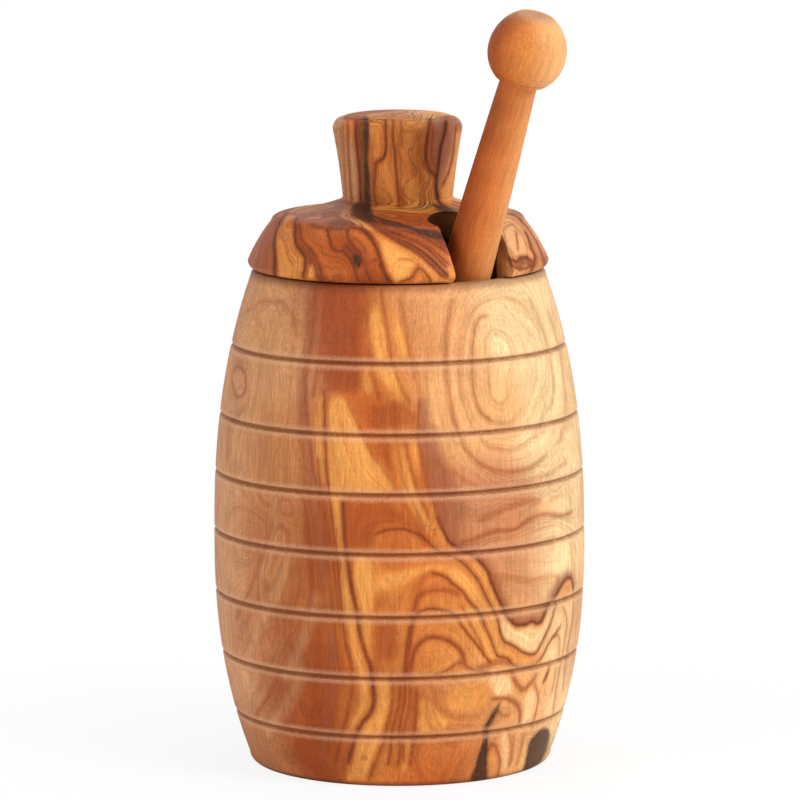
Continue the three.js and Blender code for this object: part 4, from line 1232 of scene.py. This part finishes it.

# The dipper's tints across what the camera sees of it, at stations along it (centre and half
# width): rust on the left to honey on the right, painted shade on the side away from the key lamp
# and painted light on the side toward it
BALL_SHADE_TO_LIGHT = (
    ("rust", -0.92), ("orange", -0.6), ("amber", -0.15),
    ("amber", 0.2), ("honey", 0.6), ("honey", 0.92),
)
HANDLE_SHADE_TO_LIGHT = (
    ("rust", -0.92), ("rust", -0.55), ("orange", -0.1),
    ("orange", 0.3), ("amber", 0.62), ("honey", 0.95),
)
BALL_STATIONS = ((527, 34, 34), (527, 52, 39), (526, 70, 34))
HANDLE_STATIONS = (
    (513, 100, 17), (503, 135, 19), (494, 170, 21), (485, 205, 23), (477, 240, 23), (470, 265, 22),
    (459, 305, 24), (447, 350, 25), (434, 395, 25), (422, 440, 25), (409, 485, 24), (397, 530, 23),
    (374, 615, 36), (363, 655, 44), (353, 695, 44), (343, 732, 34),
)
DIPPER_SWATCHES = [
    (tint, x + share * half, y)
    for stations, across in ((BALL_STATIONS, BALL_SHADE_TO_LIGHT), (HANDLE_STATIONS, HANDLE_SHADE_TO_LIGHT))
    for x, y, half in stations
    for tint, share in across
]
DIPPER_SWATCHES += [("smoke", 537, 15), ("brown", 505, 25), ("rust", 513, 30), ("tan", 524, 13)]
DIPPER_ROUND_BACK = [
    ("amber", 53, 34, 154), ("honey", 60, 40, 158), ("amber", 50, 29, 135), ("amber", 52, 23, 120),
    ("amber", 56, 15, 100), ("amber", 58, 8, 80), ("amber", 195, 4, 50), ("orange", 208, 19, 20),
]


# Levels of the growth rings away from the laid lines
#
# Knots on the sides that the camera misses: azimuth, radius, height, spread, and how far the rings
# rise to them. A knot is taller than it is wide.
POT_KNOTS = ((152, 39, 74, 12, 4.6), (224, 39, 36, 10, -4.2), (98, 40, 40, 9, 3.0))
LID_KNOTS = ((205, 29, 112, 8, 3.2), (120, 26, 115, 7, -2.6))
KNOT_SQUEEZE = 0.62
PITH_X, PITH_Y, PITH_Z, PITH_LEAN_X, PITH_LEAN_Y = -62, 26, 50, -0.08, 0.12


def with_knots(levels, where, knots):
    """levels with rings that close round the knots."""
    for azimuth, radius, height, spread, rise in knots:
        gap = (where - np.array(round_to(azimuth, radius, height))) * (1, 1, KNOT_SQUEEZE)
        levels = levels + rise * np.exp(-(gap**2).sum(1) / spread**2)
    return levels


def pot_trend(where):
    """Rings round a leaning pith beside the pot, arched at the back."""
    x, y, z = where.T
    across = x - PITH_X - PITH_LEAN_X * (z - PITH_Z)
    along = y - PITH_Y - PITH_LEAN_Y * (z - PITH_Z)
    sway = 1.6 * np.sin(z / 17 + x / 23) + 1.1 * np.sin(y / 11 - z / 29)
    arched = 1.9 * ((z - 40) / 45) ** 2 * np.clip((y + 5) / 25, 0, 1)
    return with_knots((np.hypot(across, along) + sway - 76) / 5 + arched, where, POT_KNOTS)


def lid_trend(where):
    """Upright rings across the lid."""
    x, y, z = where.T
    sway = 1.8 * np.sin(y / 9 + z / 14) + 1.2 * np.sin(x / 7 - z / 8)
    return with_knots((x + 0.3 * y + sway) / 4.5, where, LID_KNOTS)


def dipper_trend(where):
    """Straight rings along the dipper."""
    x, y, z = where.T
    return (x * 0.93 - z * 0.28 + 0.5 * y) / 3


# Olive wood
#
# Noises of the wood: share of the width and of the height that counts (the smaller, the longer the
# streaks that way), scale per millimetre, detail, roughness
GRAINS = {
    "uneven": (1, 0.4, 0.9, 3, 0.6),
    "frayed": (1, 0.3, 3.4, 2, 0.6),
    "broken": (1, 0.5, 1.3, 3, 0.7),
    "feathered": (1, 0.2, 0.7, 3, 0.6),
    "along": (1, 0.25, 1.0, 3, 0.6),
    "around": (1, 1, 0.7, 3, 0.6),
    "heartwood": (1, 0.12, 1.8, 3, 0.7),
    "wander": (1, 0.35, 0.11, 3, 0.6),
    "torn": (1, 1, 1.6, 3, 0.7),
    "grit": (1, 1, 6.5, 2, 0.6),
    "patchy": (1, 1, 2.0, 3, 0.7),
    "fibres": (1, 0.07, 3.2, 3, 0.65),
    "long_fibres": (1, 0.03, 1.3, 3, 0.6),
    "turning": (0.03, 1, 2.4, 3, 0.7),
    "speckle": (1, 1, 4.5, 2, 0.6),
    "pores": (1, 1, 9, 1, 0.5),
    "mottle": (1, 1, 0.12, 2, 0.5),
}

# Noises across the growth rings: how far the rings wander, scale per level, share of the height
# that counts, seed, detail, roughness
RING_GRAINS = {
    "broad": (0, 2.4, 0.03, 0.0, 4, 0.65),
    "fine": (0, 8.0, 0.06, 3.0, 3, 0.6),
    "growth": (1.3, 0.42, 0.004, 9.0, 2, 0.6),
    "rings": (1.3, 1.25, 0.005, 21.0, 3, 0.6),
}

# Bands: noise, value where they start and where they are full, strength, tint that multiplies
BANDS = (
    ("broad", 0.5, 0.74, 0.75, BAND_DARK),
    ("broad", 0.5, 0.28, 0.8, BAND_LIGHT),
    ("fine", 0.5, 0.75, 0.5, BAND_DARK),
    ("fine", 0.5, 0.25, 0.5, BAND_LIGHT),
)

# Ring lines: value of the noise at their middle, half width in that value, darkness
RING_LINES = ((0.5, 0.016, 0.85), (0.58, 0.012, 0.7), (0.42, 0.01, 0.6))
GUESS_START = -6

# Patches in the order in which they are laid. Stains: sway of the edge, distance where they are
# full and where they end, strength. Light wood: tint inside and tint at the edge.
PATCH_ORDER = ("rust", "plum", "gold", "pale", "brown")
STAINS = {
    "rust": (1.6, -1.8, 1.0, 0.75),
    "plum": (2.0, -2.4, 1.4, 0.75),
    "brown": (0.6, -0.7, 0.5, 0.85),
}
LIGHT_WOOD, LIGHT_SWAY = {"gold": ("gold", "amber"), "pale": ("cream", "honey")}, 1.1

# Tone: noise, two values of it, and the factors at these
TONES = (
    ("fibres", 0.28, 0.72, 0.87, 1.10),
    ("long_fibres", 0.3, 0.7, 0.92, 1.06),
    ("turning", 0.3, 0.7, 0.96, 1.03),
    ("speckle", 0.3, 0.7, 0.92, 1.07),
    ("pores", 0.62, 0.74, 1.0, 1.22),
    ("mottle", 0.3, 0.7, 0.93, 1.06),
)
FIBRE_BUMP, TURNING_BUMP, SPECKLE_BUMP = 0.5, 0.35, 0.25
BUMP_STRENGTH, BUMP_DISTANCE, SPECULAR = 0.35, 0.00008, 0.12
ROUGH_PORES, ROUGH_WOOD = 0.54, 0.42


class Wood(Graph):
    """The nodes of one piece: the figure that its mesh keeps, and the noises in its grain."""

    def __init__(self, name):
        self.material = bpy.data.materials.new(name)
        super().__init__(self.material)
        self.shader = self.tree.nodes["Principled BSDF"]
        self.axes = self.split(self.stored("upright", vector=True))
        self.level = self.stored("level")
        self.made = {}

    def grain(self, name):
        """A noise of GRAINS, made once."""
        if name not in self.made:
            across, along, *looks = GRAINS[name]
            shares = zip(self.axes, (across, across, along))
            axes = [axis if share == 1 else self.times(axis, share) for axis, share in shares]
            self.made[name] = self.noise(self.join(*axes), *looks)
        return self.made[name]

    def ringed(self, name):
        """A noise of RING_GRAINS, made once."""
        if name not in self.made:
            wander, per_level, along, seed, *looks = RING_GRAINS[name]
            level = self.add(self.level, self.sway("wander", wander)) if wander else self.level
            place = self.join(self.times(level, per_level), self.times(self.axes[2], along), seed)
            self.made[name] = self.noise(place, 1.0, *looks)
        return self.made[name]

    def sway(self, name, size):
        """A noise of GRAINS turned into a number that swings about zero."""
        return self.times(self.add(self.grain(name), -0.5), size)


def draw_bands(wood, colour, strength):
    """colour with broad and fine bands that follow the growth rings."""
    for name, start, full, share, tint in BANDS:
        inside = wood.fade(wood.ringed(name), start, full, 0.0, share * strength)
        colour = wood.mix(inside, colour, tint, "MULTIPLY")
    return colour


def on_tops(wood):
    """1 on the cap's top and the knob's crown, and 0 on the lid's sides."""
    z = wood.axes[2]
    shoulder, root, top = SEAT + SHOULDER_HEIGHT, SEAT + CAP_HEIGHT, SEAT + LID_HEIGHT
    cap = wood.times(
        wood.fade(z, shoulder - 0.6, shoulder + 1.4), wood.fade(z, root, root + 1.5, 1.0, 0.0)
    )
    return wood.math("MAXIMUM", cap, wood.fade(z, top - 2.6, top - 0.9))


def draw_rings(wood, colour, front, depth, tops):
    """colour with growth bands and ring lines: a share in front, all of them at a depth behind."""
    share, ink = wood.fade(wood.axes[1], GUESS_START, depth, front, 1.0), VEIN_AND_SHADE
    if tops:
        on_top = on_tops(wood)
        share = wood.math("MAXIMUM", share, on_top)
        ink = wood.mix(wood.times(on_top, 0.7), VEIN_AND_SHADE, BLACK_WOOD)
    growth, rings, lines = wood.ringed("growth"), wood.ringed("rings"), 0.0
    for middle, half, darkness in RING_LINES:
        off = wood.math("ABSOLUTE", wood.add(rings, -middle))
        line = wood.fade(off, half * 0.3, half * 1.8, darkness, 0.0)
        lines = wood.math("MAXIMUM", lines, line)
    dark, light = wood.fade(growth, 0.5, 0.6, 0.0, 0.7), wood.fade(growth, 0.47, 0.38, 0.0, 0.75)
    for inside, tint in ((dark, TINTS["rust"]), (light, TINTS["gold"]), (lines, ink)):
        colour = wood.mix(wood.times(inside, share), colour, tint)
    return colour


def draw_patches(wood, colour, kinds):
    """colour with the patches laid on it, their edges soft and slightly frayed along the grain."""
    fine = wood.ringed("fine")
    streaks = wood.fade(fine, 0.3, 0.7, 0.75, 1.0)
    for kind in [kind for kind in PATCH_ORDER if kind in kinds]:
        away = wood.stored(f"patch_{kind}")
        if kind in STAINS:
            sway, full, end, strength = STAINS[kind]
            away = wood.add(away, wood.sway("around", sway))
            stained = wood.times(wood.fade(away, full, end, strength, 0.0), streaks)
            colour = wood.mix(stained, colour, TINTS[kind])
        else:
            middle, edge = (TINTS[tint] for tint in LIGHT_WOOD[kind])
            away = wood.add(away, wood.sway("along", LIGHT_SWAY))
            inside = wood.mix(wood.fade(fine, 0.3, 0.65), edge, middle)
            colour = wood.mix(wood.fade(away, -0.2, 1.6, 0.35, 0.0), colour, edge)
            colour = wood.mix(wood.fade(away, -0.9, 0.6, 0.9, 0.0), colour, inside)
    return colour


def draw_strokes(wood, colour, layers):
    """colour with the growth lines drawn on it, uneven and soft, faint ones in a lighter tint."""
    uneven = wood.add(wood.sway("uneven", 0.5), wood.sway("frayed", 0.35))
    broken = wood.fade(wood.grain("broken"), 0.3, 0.5, 0.7, 1.0)
    feathered = wood.fade(wood.grain("feathered"), 0.34, 0.64, 0.6, 1.3)
    for k in range(layers):
        signed, ink, width = wood.split(wood.stored(f"stroke_{k}", vector=True))
        signed = wood.add(signed, uneven)
        distance = wood.math("SUBTRACT", wood.math("ABSOLUTE", signed), wood.times(width, 0.5))
        (dark, pale), (to_right, to_left) = wood.halves(ink), wood.halves(wood.stored(f"shade_{k}"))

        # The shade beside the line, the halo round it, then the line itself, dark or pale
        right = wood.times(wood.fade(signed, -3.6, -0.1), wood.fade(signed, -0.1, 0.2, 1.0, 0.0))
        left = wood.times(wood.fade(signed, 0.1, 3.6, 1.0, 0.0), wood.fade(signed, -0.2, 0.1))
        beside = wood.add(wood.times(right, to_right), wood.times(left, to_left))
        halo = wood.times(wood.fade(distance, -0.1, 1.2, 0.6, 0.0), dark)
        line = wood.times(wood.fade(distance, -0.34, 0.38, 1.0, 0.0), broken)
        line = wood.times(line, wood.fade(dark, 0.0, 0.75, 0.0, 0.95))
        pale = wood.times(wood.times(wood.fade(distance, -1.6, 1.0, 1.0, 0.0), pale), feathered)
        tint = wood.mix(wood.fade(dark, 0.4, 1.0), TINTS["rust"], VEIN_AND_SHADE)
        tint = wood.mix(wood.fade(dark, 0.95, 1.15), tint, BLACK_WOOD)
        colour = wood.mix(wood.times(beside, 0.75), colour, TINTS["plum"])
        colour = wood.mix(halo, colour, TINTS["rust"])
        colour = wood.mix(line, colour, tint)
        colour = wood.mix(pale, colour, TINTS["cream"])
    return colour


def draw_dark(wood, colour):
    """colour with the near-black spots of heartwood."""
    grain = wood.grain("heartwood")
    away = wood.add(wood.stored("patch_dark"), wood.sway("heartwood", 0.7))
    tint = wood.mix(wood.fade(grain, 0.42, 0.66, 0.0, 0.75), BLACK_WOOD, TINTS["brown"])
    colour = wood.mix(wood.fade(away, -0.1, 0.7, 0.35, 0.0), colour, TINTS["brown"])
    return wood.mix(wood.fade(away, -0.4, 0.25, 0.9, 0.0), colour, tint)


def draw_grooves(wood, colour):
    """Pale torn fibres on a groove's lips, a browned bottom, and painted shade at the rim under the
    lid and at the foot.
    """
    away, z = wood.add(wood.stored("groove"), wood.sway("torn", 0.9)), wood.axes[2]
    lip = wood.times(wood.fade(away, 0.25, 0.6), wood.fade(away, 0.8, 1.8, 1.0, 0.0))
    lip = wood.times(lip, wood.fade(wood.grain("grit"), 0.38, 0.62, 0.08, 0.62))
    bottom = wood.fade(wood.grain("patchy"), 0.35, 0.6, 0.55, 1.0)
    bottom = wood.times(wood.fade(away, 0.1, 0.8, 0.8, 0.0), bottom)
    # Painted shade: the pot's top darkened under the overhang of the lid's brim
    rim = wood.fade(z, POT_HEIGHT - 2.2, POT_HEIGHT - 0.3, 0.0, 0.55)
    # Painted contact shade: the pot's bottom edge darkened where it stands on the floor
    foot = wood.fade(z, 0.1, 1.6, 0.6, 0.0)
    for share, tint in ((lip, LIP), (bottom, GROOVE), (rim, VEIN_AND_SHADE), (foot, VEIN_AND_SHADE)):
        colour = wood.mix(share, colour, tint)
    return colour


def draw_wall_grain_and_shade(wood, colour):
    """colour with the sawn walls of the slot darker than what is turned and rubbed: partly their
    end grain, partly painted shade inside the slot, deepest at its round inner end.
    """
    return wood.mix(wood.times(wood.stored("wall"), 0.85), colour, WALL_GRAIN_AND_SHADE)


def olive_wood(name, layers=0, kinds=(), banding=1.0, front=0.0, depth=0.0, tops=False, last=None):
    """The wood of one piece, whose mesh keeps layers of strokes and patches of some kinds."""
    wood = Wood(name)
    colour = draw_bands(wood, wood.stored("ground", vector=True), banding)
    if kinds:
        colour = draw_rings(wood, colour, front, depth, tops)
        colour = draw_patches(wood, colour, kinds)
        colour = draw_strokes(wood, colour, layers)
        colour = draw_dark(wood, colour)
    tone = 1.0
    for noise, low, high, darker, lighter in TONES:
        tone = wood.times(tone, wood.fade(wood.grain(noise), low, high, darker, lighter))
    colour = wood.shade(colour, tone)
    if last:
        colour = last(wood, colour)
    fibres, turning, speckle = (wood.grain(noise) for noise in ("fibres", "turning", "speckle"))
    relief = wood.add(wood.times(turning, TURNING_BUMP), wood.times(speckle, SPECKLE_BUMP))
    relief = wood.add(wood.times(fibres, FIBRE_BUMP), relief)
    sockets = {"Strength": BUMP_STRENGTH, "Distance": BUMP_DISTANCE, "Height": relief}
    bump = wood.put("Bump", sockets)
    looks = {
        "Base Color": colour,
        "Roughness": wood.fade(fibres, 0.3, 0.7, ROUGH_PORES, ROUGH_WOOD),
        "Specular IOR Level": SPECULAR,
        "Normal": bump.outputs[0],
    }
    for socket, value in looks.items():
        wood.feed(wood.shader.inputs[socket], value)
    return wood.material


def dress_pot(mesh):
    figure = POT_STROKES, POT_PATCHES, POT_SWATCHES, POT_ROUND_BACK
    layers = lay_figure(mesh, figure, pot_trend)
    places = read_vectors(mesh.vertices, "co") / MM
    heights = places[:, 2]
    outer = np.array([barrel_radius(z) for z in heights])
    skin = np.hypot(places[:, 0], places[:, 1]) > outer - SKIN_DEPTH
    away = np.abs(heights[:, None] - np.array(GROOVE_HEIGHTS)).min(1)
    keep(mesh, "groove", np.where(skin, np.minimum(away, GROOVE_FAR), GROOVE_FAR))
    wood = olive_wood("pot_olive", layers, POT_PATCHES, front=0.2, depth=24, last=draw_grooves)
    mesh.materials.append(wood)


def keep_walls(mesh):
    """Marks the faces in the slot's walls, the round inner end, where the painted shade is deepest,
    more than the flanks.
    """
    half, marks = SLOT_WIDTH / 2, []
    for face in mesh.polygons:
        x, y = turned(*(face.center / MM).xy, -SLOT_TURN)
        past_end = x - SLOT_END - half
        across = Vector((min(past_end, 0), y))
        facing = Vector(turned(*face.normal.xy, -SLOT_TURN))
        square = abs(facing @ across.normalized()) > WALL_SQUARE
        on_wall = abs(across.length - half) < WALL_GIVE and square
        marks += [on_wall * (1.0 if past_end < END_REACH else FLANK_MARK)] * face.loop_total
    attribute = mesh.attributes.new("wall", "FLOAT", "CORNER")
    attribute.data.foreach_set("value", marks)


def dress_lid(mesh):
    figure = LID_STROKES, LID_PATCHES, LID_SWATCHES, LID_ROUND_BACK
    layers = lay_figure(mesh, figure, lid_trend, reach=4)
    keep_walls(mesh)
    looks = {"front": 0.5, "depth": 8, "tops": True, "last": draw_wall_grain_and_shade}
    mesh.materials.append(olive_wood("lid_olive", layers, LID_PATCHES, **looks))


def dress_dipper(mesh):
    """The dipper's grain runs along its stick, so its wood is laid out as if it stood upright."""
    back = np.array(place_dipper().inverted())
    upright = (read_vectors(mesh.vertices, "co") @ back[:3, :3].T + back[:3, 3]) / MM
    # Its ground tints hold painted shade on its left and painted light on its right, as the camera
    # sees it
    figure = {}, {}, DIPPER_SWATCHES, DIPPER_ROUND_BACK
    lay_figure(mesh, figure, dipper_trend, reach=3.6, upright=upright)
    mesh.materials.append(olive_wood("dipper_olive", banding=0.5))


make_camera()
make_world()
make_lamps()
make_floor()
pot, lid, dipper = make_pot(), make_lid(), make_dipper()
dress_pot(pot.data)
dress_lid(lid.data)
dress_dipper(dipper.data)
